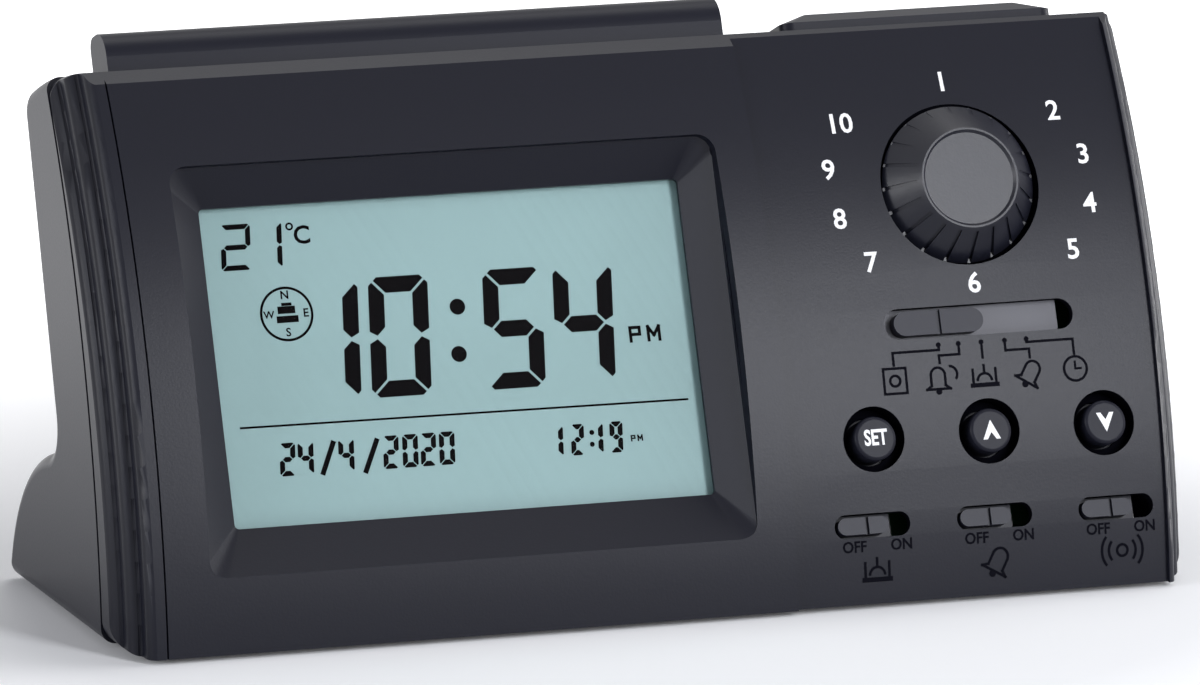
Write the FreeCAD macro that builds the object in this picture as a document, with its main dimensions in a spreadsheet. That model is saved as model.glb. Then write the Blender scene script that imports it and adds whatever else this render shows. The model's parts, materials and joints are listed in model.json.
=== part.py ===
import FreeCAD, Part
import math
import os
import re
import Sketcher

# Azan clock. +Z up, front towards -Y, +X right, millimetres.
# Most pieces are drawn in the slab frame: x to the right, y up the leaning face ("up"),
# z out of the face. Depths behind the tangent plane of the face are called "deep".

SIZES = [
    ("left_band", 7, "ribbed band at the left end"),
    ("left_margin", 7.3, "from the left band to the display surround"),
    ("bezel_width", 90.8, "display surround width"),
    ("middle_margin", 6.4, "from the surround to the control panel"),
    ("panel_width", 63.4, "width of the control panel"),
    ("right_band", 5.1, "ribbed band at the right end"),
    ("case_depth", 66.85, "depth over the foot"),
    ("face_radius", 170, "radius of the bowed face"),
    ("base_lean", 4.7, "lean of the face at its foot, degrees"),
    ("slab_lean", 21.5, "lean of the clock body, degrees"),
    ("foot_pad", 0.8, "how far the rubber feet stand out"),
    ("top_up", 44.8, "front edge of the top above the tangent point"),
    ("top_rise", 1.3, "rise of the top from front to rear"),
    ("top_radius", 85, "crown of the top"),
    ("top_round", 4, "rounding of the top's rear corner"),
    ("crest_up", 42.4, "where the face turns into the top bevel"),
    ("crest_deep", 7.5, "depth of the top bevel's rear edge"),
    ("seam_radius", 176, "radius of the joint between the shells"),
    ("seam_deep", 11.8, "least depth of the joint"),
    ("seam_up", 8.9, "height of the joint's least depth"),
    ("seam_groove", 0.9, "width of the shadow groove at the joint"),
    ("seam_groove_deep", 0.9, "depth of the shadow groove"),
    ("rear_top_deep", 30.1, "rear wall at the top"),
    ("rear_low_deep", 33.1, "rear wall where it meets the foot"),
    ("foot_radius", 30.5, "radius of the rounded foot"),
    ("foot_z", -5.2, "foot centre above the floor"),
    ("heel_round", 2, "rounding where the foot meets the floor"),
    ("notch_round", 5, "rounding between the rear wall and the foot"),
    ("wall", 2.2, "shell wall"),
    ("face_wall", 2.4, "face wall"),
    ("end_wall", 8, "end wall of the front shell, ribs included"),
    ("front_round", 4, "rounding of the front shell's end corners"),
    ("end_round", 2.4, "rounding of the rear shell's end edges"),
    ("touch_gap", 0.4, "gap round moving keys"),
    ("fit", 0.05, "radial clearance of pins"),
    ("far", 60, "length of cuts that run right through"),
    ("face_sweep", 44, "angle that covers the whole face, degrees"),
    ("panel_deep", 0.9, "recess of the control panel"),
    ("bezel_height", 65.65, "display surround height"),
    ("bezel_up", -4.9, "display surround centre height"),
    ("bezel_round", 3, "display surround corner radius"),
    ("bezel_deep", 4.0, "foot of the upright surround wall"),
    ("border_left", 6.1, "surround, left slope"),
    ("border_right", 4.8, "surround, right slope"),
    ("border_top", 5.92, "surround, upper slope"),
    ("border_low", 8.48, "surround, lower slope"),
    ("window_round", 0.8, "window corner radius"),
    ("tub_wall", 1.6, "wall behind the surround"),
    ("window_deep", 8.3, "window rim depth"),
    ("rim_deep", 9.1, "rear of the window rim"),
    ("rim_land", 4.0, "land behind the rim for the glass"),
    ("glass_edge", 2.8, "overlap of the glass round the window"),
    ("lens_thick", 1.2, "display window thickness"),
    ("lcd_deep", 10.3, "front of the LCD"),
    ("lcd_thick", 2.4, "LCD thickness"),
    ("guide_thick", 3.0, "light guide thickness"),
    ("frame_wall", 1.6, "wall of the display holder"),
    ("led_high", 8, "height of the backlight LED"),
    ("strip_inset", 6.4, "contact strip from the window's ends"),
    ("chip_side", 14, "side of the controller chip"),
    ("chip_inset", 36.5, "controller chip from the main board's left edge"),
    ("chip_up", -5, "controller chip, centre height"),
    ("sensor_side", 4, "side of the temperature sensor"),
    ("sensor_inset", 8.5, "temperature sensor from the main board's left edge"),
    ("sensor_rise", 3.5, "temperature sensor above the main board's lower edge"),
    ("ribbon_high", 12, "width of the ribbon cable"),
    ("ribbon_hold", 5.9, "ribbon cable over each board"),
    ("board_deep", 16.2, "front face of the boards"),
    ("board_thick", 1.6, "board thickness"),
    ("board_over", 3.1, "boards above and below the display holder"),
    ("panel_board_foot", -41, "lower edge of the control board"),
    ("board_gap", 1.6, "gap between the two boards"),
    ("board_end", 1.2, "boards from the end walls"),
    ("main_over", 5.3, "main board past the surround"),
    ("post_inset", 3, "posts from the boards' side edges"),
    ("post_rise", 4, "posts from the boards' upper and lower edges"),
    ("post_d", 5, "board post diameter"),
    ("screw_d", 2.2, "board screw shank"),
    ("screw_head_d", 4.2, "board screw head"),
    ("screw_head_high", 1.4, "board screw head height"),
    ("screw_bite", 6, "board screw length in the post"),
    ("screw_spare", 0.6, "bore past a screw's tip"),
    ("control_inset", 34.1, "middle of the controls from the panel's left step"),
    ("knob_up", 17.1, "selector centre height"),
    ("knob_well_d", 26.8, "recess round the selector"),
    ("knob_well_deep", 4.2, "floor of that recess"),
    ("knob_boss_d", 31, "boss behind the recess"),
    ("knob_boss_deep", 5.9, "rear of that boss"),
    ("knob_d", 25.6, "selector skirt diameter"),
    ("knob_cap_d", 16.8, "selector cap diameter"),
    ("knob_top", -3.3, "depth of the selector's rim (negative: proud)"),
    ("knob_dish", 0.5, "dish of the cap"),
    ("knob_foot", 3.8, "depth of the selector's underside"),
    ("knob_marks", 20, "marks round the skirt"),
    ("mark_wide", 0.6, "width of a mark"),
    ("shaft_d", 6, "selector shaft"),
    ("rotary_d", 20, "rotary switch diameter"),
    ("rotary_front", 8.2, "front of the rotary switch"),
    ("slot_long", 32.3, "mode slot length"),
    ("slot_up", -5.2, "mode slot centre height"),
    ("slot_high", 5.0, "mode slot height"),
    ("mode_inset", 1.67, "mode slider from the slot's left end"),
    ("mode_long", 15.2, "mode slider length"),
    ("mode_high", 3.9, "mode slider height"),
    ("mode_travel", 14.8, "mode slider travel"),
    ("mode_top", 0.8, "depth of the mode slider's top"),
    ("shutter_lap", 0.4, "shutter strip past the slot's left end at full travel"),
    ("shutter_short", 2.1, "shutter strip short of the slot's right end"),
    ("shutter_high", 7.6, "shutter strip height"),
    ("shutter_deep", 3.0, "front of the shutter strip"),
    ("shutter_thick", 0.6, "shutter strip thickness"),
    ("lever_wide", 2.4, "mode switch lever"),
    ("lever_deep", 12.6, "rear end of the lever"),
    ("mode_switch_front", 10.2, "front of the mode switch"),
    ("mode_switch_high", 8, "height of the mode switch"),
    ("button_up", -23.13, "row of round buttons"),
    ("button_step", 19.65, "pitch of the round buttons"),
    ("button_well_d", 10.4, "well round a button"),
    ("button_well_deep", 5.6, "floor of the well"),
    ("button_boss_d", 13, "boss behind a button"),
    ("button_boss_deep", 6.6, "rear of that boss"),
    ("button_d", 7.1, "button diameter"),
    ("button_top", 1.6, "depth of a button's top"),
    ("button_flange_d", 9.4, "button flange"),
    ("button_flange_thick", 1.0, "button flange thickness"),
    ("button_travel", 0.9, "button travel"),
    ("button_stem_d", 3, "button stem"),
    ("switch_side", 6, "side of a tact switch"),
    ("switch_front", 12.7, "front of the button switches"),
    ("plunger_d", 3.2, "switch plunger diameter"),
    ("plunger_front", 11.4, "front end of the button plungers"),
    ("plunger_rear", 14.6, "rear end of the button plungers"),
    ("toggle_up", -36.6, "row of on/off sliders"),
    ("toggle_step", 20.8, "pitch of the on/off sliders"),
    ("toggle_slot_long", 12.87, "on/off slot length"),
    ("toggle_slot_high", 3.8, "on/off slot height"),
    ("toggle_long", 8.6, "on/off slider length"),
    ("toggle_high", 2.75, "on/off slider height"),
    ("toggle_inset", 0.5, "on/off slider from the slot's left end"),
    ("toggle_travel", 3.3, "on/off slider travel"),
    ("toggle_proud", 0.3, "how far an on/off slider stands out"),
    ("toggle_stem", 2.0, "width of the slider's stem"),
    ("toggle_flange", 1.0, "slider's flange past its edges"),
    ("toggle_flange_thick", 1.0, "thickness of that flange"),
    ("flange_gap", 0.3, "gap between that flange and the face wall"),
    ("toggle_switch_front", 11.4, "front of the slide switches"),
    ("toggle_switch_long", 10.6, "slide switch length"),
    ("toggle_switch_high", 5, "slide switch height"),
    ("toggle_stem_deep", 13.2, "rear end of the slider stems"),
    ("bar_inset", 8.6, "bar from the left end"),
    ("key_inset", 12, "stop key from the right end"),
    ("key_long", 46.4, "stop key length"),
    ("key_gap", 10.2, "between the bar and the stop key"),
    ("bar_front", 9.2, "front of the bar and the key"),
    ("bar_rear", 17.7, "rear of the bar"),
    ("key_rear", 18.2, "rear of the stop key"),
    ("bar_top", 52, "top of the bar"),
    ("bar_round_front", 4.5, "front rounding of the bar"),
    ("bar_round_rear", 2, "rear rounding of the bar"),
    ("bar_wall", 1.6, "wall of the bar and the key"),
    ("key_edge", 46.4, "top of the stop key's side wall"),
    ("key_top", 48.2, "top of the stop key"),
    ("key_bevel_end", 5, "bevel at the key's ends"),
    ("key_bevel_side", 3.4, "bevel at the key's front and rear"),
    ("key_corner", 2, "rounded corners of the stop key"),
    ("key_hook_inset", 4, "hook from the ends of the bar and the key"),
    ("bar_roof", 2.4, "roof of the bar"),
    ("key_low", 40.6, "lower edge of bar and key"),
    ("key_hook", 1.6, "depth of the retaining hook"),
    ("key_hook_high", 1.7, "height of the retaining hook"),
    ("top_travel", 1.2, "travel of the bar and the key"),
    ("top_board_up", 35, "upper face of the top board"),
    ("top_board_inset", 11.4, "top board inside the bar's left end"),
    ("top_board_end", 2, "top board inside the stop key's right end"),
    ("top_board_front", 9.0, "top board, front edge"),
    ("top_board_rear", 19.0, "top board, rear edge"),
    ("top_switch_up", 39, "top of the top switches"),
    ("top_plunger_up", 40.2, "top of the top plungers"),
    ("top_plunger_low", 36.6, "lower end of the top plungers"),
    ("top_switch_deep", 13.4, "middle of the top switches"),
    ("snooze_inset", 25.4, "snooze switches from the bar's ends"),
    ("rib_thick", 2, "shelf ribs"),
    ("rib_low", 30.4, "lower edge of the shelf ribs"),
    ("speaker_x", -4, "loudspeaker centre"),
    ("speaker_up", 7, "loudspeaker centre height"),
    ("speaker_d", 40, "loudspeaker diameter"),
    ("speaker_seat", 27.4, "seat of the loudspeaker"),
    ("speaker_ring", 3, "width of the seat ring"),
    ("basket_deep", 22.6, "front of the basket"),
    ("magnet_deep", 19.6, "front of the magnet"),
    ("magnet_d", 18, "magnet diameter"),
    ("grille_d", 2.6, "grille hole"),
    ("grille_step", 4.6, "pitch of the grille rings"),
    ("case_screw_inset", 4.9, "case screws from the ends"),
    ("case_screw_high", 33, "upper case screws"),
    ("case_screw_low", -4, "lower case screws"),
    ("case_screw_d", 2.4, "case screw shank"),
    ("case_head_d", 4.4, "case screw head"),
    ("case_head_seat", 29.0, "seat of the case screw heads"),
    ("case_head_low_seat", 31.4, "seat of the lower case screw heads"),
    ("case_post_d", 6.4, "case screw post"),
    ("cell_d", 14.2, "AA cell"),
    ("cell_long", 50.5, "AA cell length"),
    ("cell_front_y", 29.2, "front cell"),
    ("cell_rear_y", 44.4, "rear cell"),
    ("cell_z", 9.1, "cells above the floor"),
    ("bay_half", 29, "half length of the battery opening"),
    ("bay_front", 21.6, "front of the battery opening"),
    ("bay_rear", 52.1, "rear of the battery opening"),
    ("box_wall", 1.1, "battery box wall"),
    ("contact_thick", 0.5, "battery contact plate"),
    ("contact_side", 10, "battery contact plate width"),
    ("nub_d", 5.4, "plus end of a cell"),
    ("nub_long", 1, "length of the plus end"),
    ("spring_wire", 0.7, "contact spring wire"),
    ("spring_d", 6, "contact spring, mean diameter"),
    ("spring_pitch", 1.4, "contact spring pitch"),
    ("box_high", 17.4, "battery box, upper face"),
    ("door_thick", 1.6, "battery door thickness"),
    ("hinge_y", 23.4, "hinge line of the door"),
    ("hinge_z", 1.0, "height of the hinge line"),
    ("pin_d", 1.3, "hinge pin"),
    ("pin_long", 1.4, "hinge pin length"),
    ("foot_pad_d", 9, "rubber foot diameter"),
    ("foot_pad_inset", 12, "rubber feet from the ends"),
    ("foot_pad_front", 20.5, "front rubber feet"),
    ("foot_pad_rear", 57.5, "rear rubber feet"),
]

WORKED = [
    ("centre_y", "face_radius * cos(base_lean)"),
    ("centre_z", "-face_radius * sin(base_lean)"),
    ("tangent_y", "face_radius * (cos(base_lean) - cos(slab_lean))"),
    ("tangent_z", "face_radius * (sin(slab_lean) - sin(base_lean))"),
    ("foot_y", "case_depth - heel_round - sqrt((foot_radius - heel_round)^2 - (heel_round - foot_z)^2)"),
    ("toe_y", "foot_y + sqrt(foot_radius^2 - foot_z^2)"),
    ("shift_y", "-case_depth / 2"),
    ("slab_y", "tangent_y + shift_y"),
    ("slab_z", "tangent_z + foot_pad"),
    ("foot_up", "(foot_y - tangent_y) * sin(slab_lean) + (foot_z - tangent_z) * cos(slab_lean)"),
    ("foot_deep", "(foot_y - tangent_y) * cos(slab_lean) - (foot_z - tangent_z) * sin(slab_lean)"),
    ("case_width", "left_band + left_margin + bezel_width + middle_margin + panel_width + right_band"),
    ("half", "case_width / 2"),
    ("front_room", "case_width - 2 * end_wall"),
    ("bezel_left", "left_band + left_margin - half"),
    ("bezel_right", "bezel_left + bezel_width"),
    ("bezel_x", "(bezel_left + bezel_right) / 2"),
    ("panel_left", "bezel_right + middle_margin"),
    ("panel_right", "panel_left + panel_width"),
    ("window_width", "bezel_width - border_left - border_right"),
    ("window_height", "bezel_height - border_low - border_top"),
    ("window_x", "bezel_x + (border_left - border_right) / 2"),
    ("window_up", "bezel_up + (border_low - border_top) / 2"),
    ("board_reach", "window_height / 2 + glass_edge + frame_wall + board_over"),
    ("board_top", "window_up + board_reach"),
    ("board_foot", "window_up - board_reach"),
    ("main_left", "board_end - front_room / 2"),
    ("main_right", "bezel_right + main_over"),
    ("panel_board_left", "main_right + board_gap"),
    ("panel_board_right", "front_room / 2 - board_end"),
    ("control_x", "panel_left + control_inset"),
    ("slot_left", "control_x - slot_long / 2"),
    ("slot_right", "control_x + slot_long / 2"),
    ("mode_left", "slot_left + mode_inset"),
    ("shutter_left", "slot_left - mode_travel - shutter_lap"),
    ("shutter_right", "slot_right - shutter_short"),
    ("button_first", "control_x - button_step"),
    ("toggle_first", "control_x - toggle_slot_long / 2 - toggle_step"),
    ("bar_left", "bar_inset - half"),
    ("key_right", "half - key_inset"),
    ("key_left", "key_right - key_long"),
    ("bar_right", "key_left - key_gap"),
    ("stop_x", "(key_left + key_right) / 2"),
    ("snooze_left_x", "bar_left + snooze_inset"),
    ("snooze_right_x", "bar_right - snooze_inset"),
    ("top_board_left", "bar_left + top_board_inset"),
    ("top_board_right", "key_right - top_board_end"),
    ("case_screw_x", "half - case_screw_inset"),
    ("foot_pad_x", "half - foot_pad_inset"),
    ("toggle_deep", "face_radius - sqrt(face_radius^2 - toggle_up^2)"),
    ("toggle_reach", "toggle_high / 2 + toggle_flange"),
    ("toggle_rear", "face_radius - sqrt((face_radius - face_wall)^2 - (toggle_up - toggle_reach)^2) + flange_gap"),
    ("seam_centre", "seam_deep + seam_radius"),
    ("board_rear", "board_deep + board_thick"),
    ("box_half", "bay_half + box_wall"),
    ("contact_x", "bay_half - contact_thick"),
    ("spring_long", "2 * contact_x - cell_long"),
]

doc = FreeCAD.newDocument("azan_clock")
NAMES = {}
PIECES = []


def spell(text):
    """Put the sheet's name before every size in an expression."""
    return re.sub(r"[A-Za-z_]\w*", lambda m: NAMES.get(m.group(0), m.group(0)), str(text))


def fill_sheets():
    sheet = doc.addObject("Spreadsheet::Sheet", "Sizes")
    for row, (alias, number, meaning) in enumerate(SIZES, 2):
        sheet.set("A%d" % row, alias)
        sheet.set("B%d" % row, str(number))
        sheet.set("C%d" % row, meaning)
        sheet.setAlias("B%d" % row, alias)
        NAMES[alias] = "Sizes." + alias
    doc.recompute()
    worked = doc.addObject("App::VarSet", "Worked")
    for alias, rule in WORKED:
        worked.addProperty("App::PropertyFloat", alias)
        worked.setExpression(alias, spell(rule))
        doc.recompute()
        NAMES[alias] = "Worked." + alias
    return worked


worked = fill_sheets()


def value(text):
    """Work out an expression as a plain number."""
    found = worked.evalExpression(spell(text))
    return float(getattr(found, "Value", found))


def face_deep(up):
    """Depth of the face at a height."""
    return "(face_radius - sqrt(face_radius^2 - (%s)^2))" % up


def level_up(y, z):
    """Slab height of a point given behind the front edge and above the floor."""
    return "((%s - tangent_y) * sin(slab_lean) + (%s - tangent_z) * cos(slab_lean))" % (y, z)


def level_deep(y, z):
    """Slab depth of a point given behind the front edge and above the floor."""
    return "((%s - tangent_y) * cos(slab_lean) - (%s - tangent_z) * sin(slab_lean))" % (y, z)


def level(y, z):
    return (level_up(y, z), "-%s" % level_deep(y, z))


# ---- bodies, sketches and features -------------------------------------------------

def place(thing, x="0", y="slab_y", z="slab_z", lean="90 - slab_lean"):
    """Tie a piece's place to the sizes."""
    thing.Placement = FreeCAD.Placement(FreeCAD.Vector(0, 0, 0), FreeCAD.Rotation(FreeCAD.Vector(1, 0, 0), 10))
    thing.setExpression("Placement.Base.x", spell(x))
    thing.setExpression("Placement.Base.y", spell(y))
    thing.setExpression("Placement.Base.z", spell(z))
    thing.setExpression("Placement.Rotation.Angle", spell("(%s) * 1deg" % lean))


def piece(label, **where):
    """A body in the slab frame, unless another place is given."""
    body = doc.addObject("PartDesign::Body", label)
    body.Label = label
    place(body, **where)
    PIECES.append(body)
    return body


def level_piece(label):
    """A body in the upright frame: z up from the floor, y back from the front edge."""
    body = doc.addObject("PartDesign::Body", label)
    body.Label = label
    body.setExpression("Placement.Base.y", spell("shift_y"))
    body.setExpression("Placement.Base.z", spell("foot_pad"))
    PIECES.append(body)
    return body


def plane(body, role):
    for feature in body.Origin.OriginFeatures:
        if feature.Role == role:
            return feature
    raise ValueError(role)


def sketch(body, role, lift="0", drop="0"):
    """A sketch on one of the body's own planes, lifted along the plane's normal."""
    drawn = body.newObject("Sketcher::SketchObject", "Sketch")
    drawn.AttachmentSupport = [(plane(body, role), "")]
    drawn.MapMode = "FlatFace"
    drawn.setExpression("AttachmentOffset.Base.z", spell(lift))
    drawn.setExpression("AttachmentOffset.Base.y", spell(drop))
    drawn.Visibility = False
    return drawn


def front(body, deep="0"):
    """A sketch seen from the front at a depth."""
    return sketch(body, "XY_Plane", "-(%s)" % deep)


def side(body, x="0"):
    """A sketch seen from the side: up, -deep."""
    return sketch(body, "YZ_Plane", x)


def above(body, up="0"):
    """A sketch seen from above at a height: x, -deep."""
    return sketch(body, "XZ_Plane", "-(%s)" % up)


def hold(drawn, kind, links, text):
    """Add a measured constraint tied to an expression."""
    row = drawn.addConstraint(Sketcher.Constraint(kind, *links, value(text)))
    name = "c%d" % row
    drawn.renameConstraint(row, name)
    drawn.setExpression("Constraints.%s" % name, spell(text))


def bow(start, end, bend):
    """The arc from start to end; a positive bend turns left, a negative one right."""
    radius = abs(bend)
    across = (end[0] - start[0], end[1] - start[1])
    chord = math.hypot(*across)
    rise = math.sqrt(radius * radius - chord * chord / 4)
    turn = 1 if bend > 0 else -1
    middle = FreeCAD.Vector((start[0] + end[0]) / 2 - turn * across[1] / chord * rise,
                            (start[1] + end[1]) / 2 + turn * across[0] / chord * rise, 0)
    first, last = (start, end) if bend > 0 else (end, start)
    first_angle = math.atan2(first[1] - middle.y, first[0] - middle.x)
    last_angle = math.atan2(last[1] - middle.y, last[0] - middle.x)
    circle = Part.Circle(middle, FreeCAD.Vector(0, 0, 1), radius)
    return Part.ArcOfCircle(circle, first_angle, last_angle)


def outline(drawn, corners):
    """A closed outline; a corner may carry the radius of the arc that leaves it."""
    points = [(value(c[0]), value(c[1])) for c in corners]
    edges = []
    for index, corner in enumerate(corners):
        start = points[index]
        end = points[(index + 1) % len(points)]
        bend = value(corner[2]) if len(corner) > 2 else 0
        if bend:
            made = drawn.addGeometry(bow(start, end, bend), False)
            edges.append((made, 1, 2) if bend > 0 else (made, 2, 1))
        else:
            line = Part.LineSegment(FreeCAD.Vector(*start, 0), FreeCAD.Vector(*end, 0))
            edges.append((drawn.addGeometry(line, False), 1, 2))
    for index, edge in enumerate(edges):
        after = edges[(index + 1) % len(edges)]
        drawn.addConstraint(Sketcher.Constraint("Coincident", edge[0], edge[2], after[0], after[1]))
    for index, corner in enumerate(corners):
        hold(drawn, "DistanceX", (-1, 1, edges[index][0], edges[index][1]), corner[0])
        hold(drawn, "DistanceY", (-1, 1, edges[index][0], edges[index][1]), corner[1])
        if len(corner) > 2:
            hold(drawn, "Radius", (edges[index][0],), "abs(%s)" % corner[2])


def box(drawn, left, low, right, high):
    outline(drawn, [(left, low), (right, low), (right, high), (left, high)])


def round_box(drawn, x, y, wide, high, radius):
    """A rectangle about a centre with rounded corners."""
    left, right = "(%s) - (%s) / 2" % (x, wide), "(%s) + (%s) / 2" % (x, wide)
    low, top = "(%s) - (%s) / 2" % (y, high), "(%s) + (%s) / 2" % (y, high)
    inset = "(%s)" % radius
    outline(drawn, [
        (left + " + " + inset, low), (right + " - " + inset, low, radius),
        (right, low + " + " + inset), (right, top + " - " + inset, radius),
        (right + " - " + inset, top), (left + " + " + inset, top, radius),
        (left, top + " - " + inset), (left, low + " + " + inset, radius)])


def stadium(drawn, left, right, y, high):
    """A slot outline with full round ends."""
    inset = "(%s) / 2" % high
    low, top = "(%s) - %s" % (y, inset), "(%s) + %s" % (y, inset)
    outline(drawn, [
        ("(%s) + %s" % (left, inset), low), ("(%s) - %s" % (right, inset), low, inset),
        (right, y, inset), ("(%s) - %s" % (right, inset), top),
        ("(%s) + %s" % (left, inset), top, inset), (left, y, inset)])


def ring(drawn, x, y, diameter):
    """A circle."""
    middle = FreeCAD.Vector(value(x), value(y), 0)
    made = drawn.addGeometry(Part.Circle(middle, FreeCAD.Vector(0, 0, 1), value(diameter) / 2), False)
    hold(drawn, "DistanceX", (-1, 1, made, 3), x)
    hold(drawn, "DistanceY", (-1, 1, made, 3), y)
    hold(drawn, "Diameter", (made,), diameter)


def settle(body, feature, cuts=None):
    """Recompute; make sure that a cut really removes material and a pad adds some."""
    before = body.Tip.BaseFeature.Shape.Volume if getattr(body.Tip, "BaseFeature", None) else 0
    doc.recompute()
    after = feature.Shape.Volume
    if cuts is not None and body.Tip.BaseFeature is not None:
        changed = before - after if cuts else after - before
        if changed < 1e-3:
            raise ValueError("%s: %s changes nothing" % (body.Label, feature.Name))
    return feature


def extrude(body, kind, drawn, length, both, back):
    feature = body.newObject("PartDesign::" + kind, kind)
    feature.Profile = drawn
    feature.setExpression("Length", spell(length))
    if both:
        feature.SideType = "Symmetric"
    feature.Reversed = back
    return settle(body, feature, kind == "Pocket")


def pad(body, drawn, length, both=False, back=False):
    return extrude(body, "Pad", drawn, length, both, back)


def pocket(body, drawn, length, both=False, back=False):
    return extrude(body, "Pocket", drawn, length, both, back)


def turn(body, kind, drawn, axis, angle="360", both=False):
    feature = body.newObject("PartDesign::" + kind, kind)
    feature.Profile = drawn
    feature.ReferenceAxis = (drawn, [axis])
    feature.setExpression("Angle", spell(angle) + " * 1deg")
    feature.Midplane = both
    return settle(body, feature, kind == "Groove")


def loft(body, kind, first, second):
    feature = body.newObject("PartDesign::" + kind, "Loft")
    feature.Profile = first
    feature.Sections = [second]
    feature.Ruled = True
    return settle(body, feature, kind == "SubtractiveLoft")


def round_edges(body, wanted, radius):
    """Round the edges whose middle point passes the test, in the body's own frame."""
    base = body.Tip
    names = []
    for index, edge in enumerate(base.Shape.Edges, 1):
        middle = edge.valueAt((edge.FirstParameter + edge.LastParameter) / 2)
        if wanted(middle, edge):
            names.append("Edge%d" % index)
    if not names:
        raise ValueError("%s: no edge to round" % body.Label)
    feature = body.newObject("PartDesign::Fillet", "Fillet")
    feature.Base = (base, names)
    feature.setExpression("Radius", spell(radius))
    return settle(body, feature)


def block(body, left, right, low, high, near, rear):
    """Pad a box between two depths."""
    drawn = front(body, rear)
    box(drawn, left, low, right, high)
    return pad(body, drawn, "(%s) - (%s)" % (rear, near))


def rods(body, spots, diameter, near, rear):
    """Pad round bars between two depths."""
    drawn = front(body, rear)
    for x, up in spots:
        ring(drawn, x, up, diameter)
    return pad(body, drawn, "(%s) - (%s)" % (rear, near))


def bore(body, spots, diameter, near, rear):
    """Cut round holes from one depth back to another."""
    drawn = front(body, near)
    for x, up in spots:
        ring(drawn, x, up, diameter)
    return pocket(body, drawn, "(%s) - (%s)" % (rear, near))


def cut_box(body, left, right, low, high, near, rear):
    drawn = front(body, near)
    box(drawn, left, low, right, high)
    return pocket(body, drawn, "(%s) - (%s)" % (rear, near))


# ---- the two shells ------------------------------------------------------------------

POST_HIGH = "board_top - post_rise"
BOARD_POSTS = [("main_left + post_inset", POST_HIGH), ("main_left + post_inset", "board_foot + post_rise"),
               ("main_right - post_inset", POST_HIGH), ("main_right - post_inset", "board_foot + post_rise"),
               ("panel_board_left + post_inset", POST_HIGH), ("panel_board_right - post_inset", POST_HIGH),
               ("panel_board_left + post_inset", "(slot_up + button_up) / 2"),
               ("panel_board_right - post_inset", "(slot_up + button_up) / 2")]
CASE_SCREWS = [("-case_screw_x", "case_screw_high"), ("case_screw_x", "case_screw_high"),
               ("-case_screw_x", "case_screw_low"), ("case_screw_x", "case_screw_low")]
BUTTONS = [("set_button", "button_first"), ("up_button", "button_first + button_step"),
           ("down_button", "button_first + 2 * button_step")]
TOGGLES = [("azan_slider", "toggle_first"), ("alarm_slider", "toggle_first + toggle_step"),
           ("snooze_slider", "toggle_first + 2 * toggle_step")]
# ribs at the ends of the case: distance from the end, setback behind the face, radius of the next arc
RIBS = [(5.1, 0, -1.8), (3.8, 1.5), (3.7, 3.3, 0.45), (3.1, 3.6, -1.9), (1.75, 5.4), (1.65, 6.8, 0.45),
        (1.1, 7.1, -2.4), (-0.01, 9.6)]
LEFT_LINE = [(7, 0), (6.9, 0.5), (6.7, 0)]


def seam_deep_at(up):
    return "(seam_centre - sqrt(seam_radius^2 - (%s - seam_up)^2))" % up


def case_block(body):
    """The whole case as one solid prism with square ends."""
    drawn = side(body)
    low_front = level("0", "0")
    toe = level("toe_y", "0")
    notch_up = "(foot_up + sqrt(foot_radius^2 - (foot_deep - rear_low_deep)^2))"
    outline(drawn, [
        (low_front[0], low_front[1], "-face_radius"),
        ("crest_up", "-" + face_deep("crest_up")),
        ("top_up", "-crest_deep", "-top_radius"),
        ("top_up + top_rise", "-rear_top_deep"),
        (notch_up, "-rear_low_deep", "-foot_radius"),
        toe])
    pad(body, drawn, "case_width", both=True)
    for up, deep, radius in (("top_up + top_rise", "rear_top_deep", "top_round"),
                             (notch_up, "rear_low_deep", "notch_round"),
                             (toe[0], "-(%s)" % toe[1], "heel_round")):
        round_edges(body, across_at(value(up), value(deep)), radius)


def across_at(up, deep):
    """Test for an edge that runs across the case at a height and a depth."""
    return lambda middle, edge: abs(middle.y - up) < 0.01 and abs(middle.z + deep) < 0.01


def at_ends(body, wanted):
    """Test for edges of the case's two end faces, by their middle point."""
    half = value("half")
    return lambda middle, edge: abs(abs(middle.x) - half) < 0.01 and is_flat_end(edge, half) and wanted(middle)


def is_flat_end(edge, half):
    """An edge that lies in an end face from end to end."""
    return all(abs(abs(vertex.Point.x) - half) < 0.01 for vertex in edge.Vertexes)


def floor_height(point):
    """Height over the case floor of a point in the slab frame."""
    lean = math.radians(value("slab_lean"))
    return value("tangent_z") + point.y * math.cos(lean) + point.z * math.sin(lean)


def seam_cut(body, keep_front):
    """Cut away the part of the case on the other side of the joint."""
    drawn = side(body)
    high, low = "top_up + 5", "-60"
    beyond = "-90" if keep_front else "20"
    outline(drawn, [(low, "-" + seam_deep_at(low), "-seam_radius"), (high, "-" + seam_deep_at(high)),
                    (high, beyond), (low, beyond)])
    pocket(body, drawn, "case_width + 20", both=True)


def face_trim(body):
    """Cut away whatever stands in front of the bowed face."""
    drawn = side(body)
    low, high = "-56", "crest_up"
    outline(drawn, [(low, "-" + face_deep(low), "-face_radius"), (high, "-" + face_deep(high)), (high, "20"),
                    (low, "20")])
    pocket(body, drawn, "case_width + 2", both=True)


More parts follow.
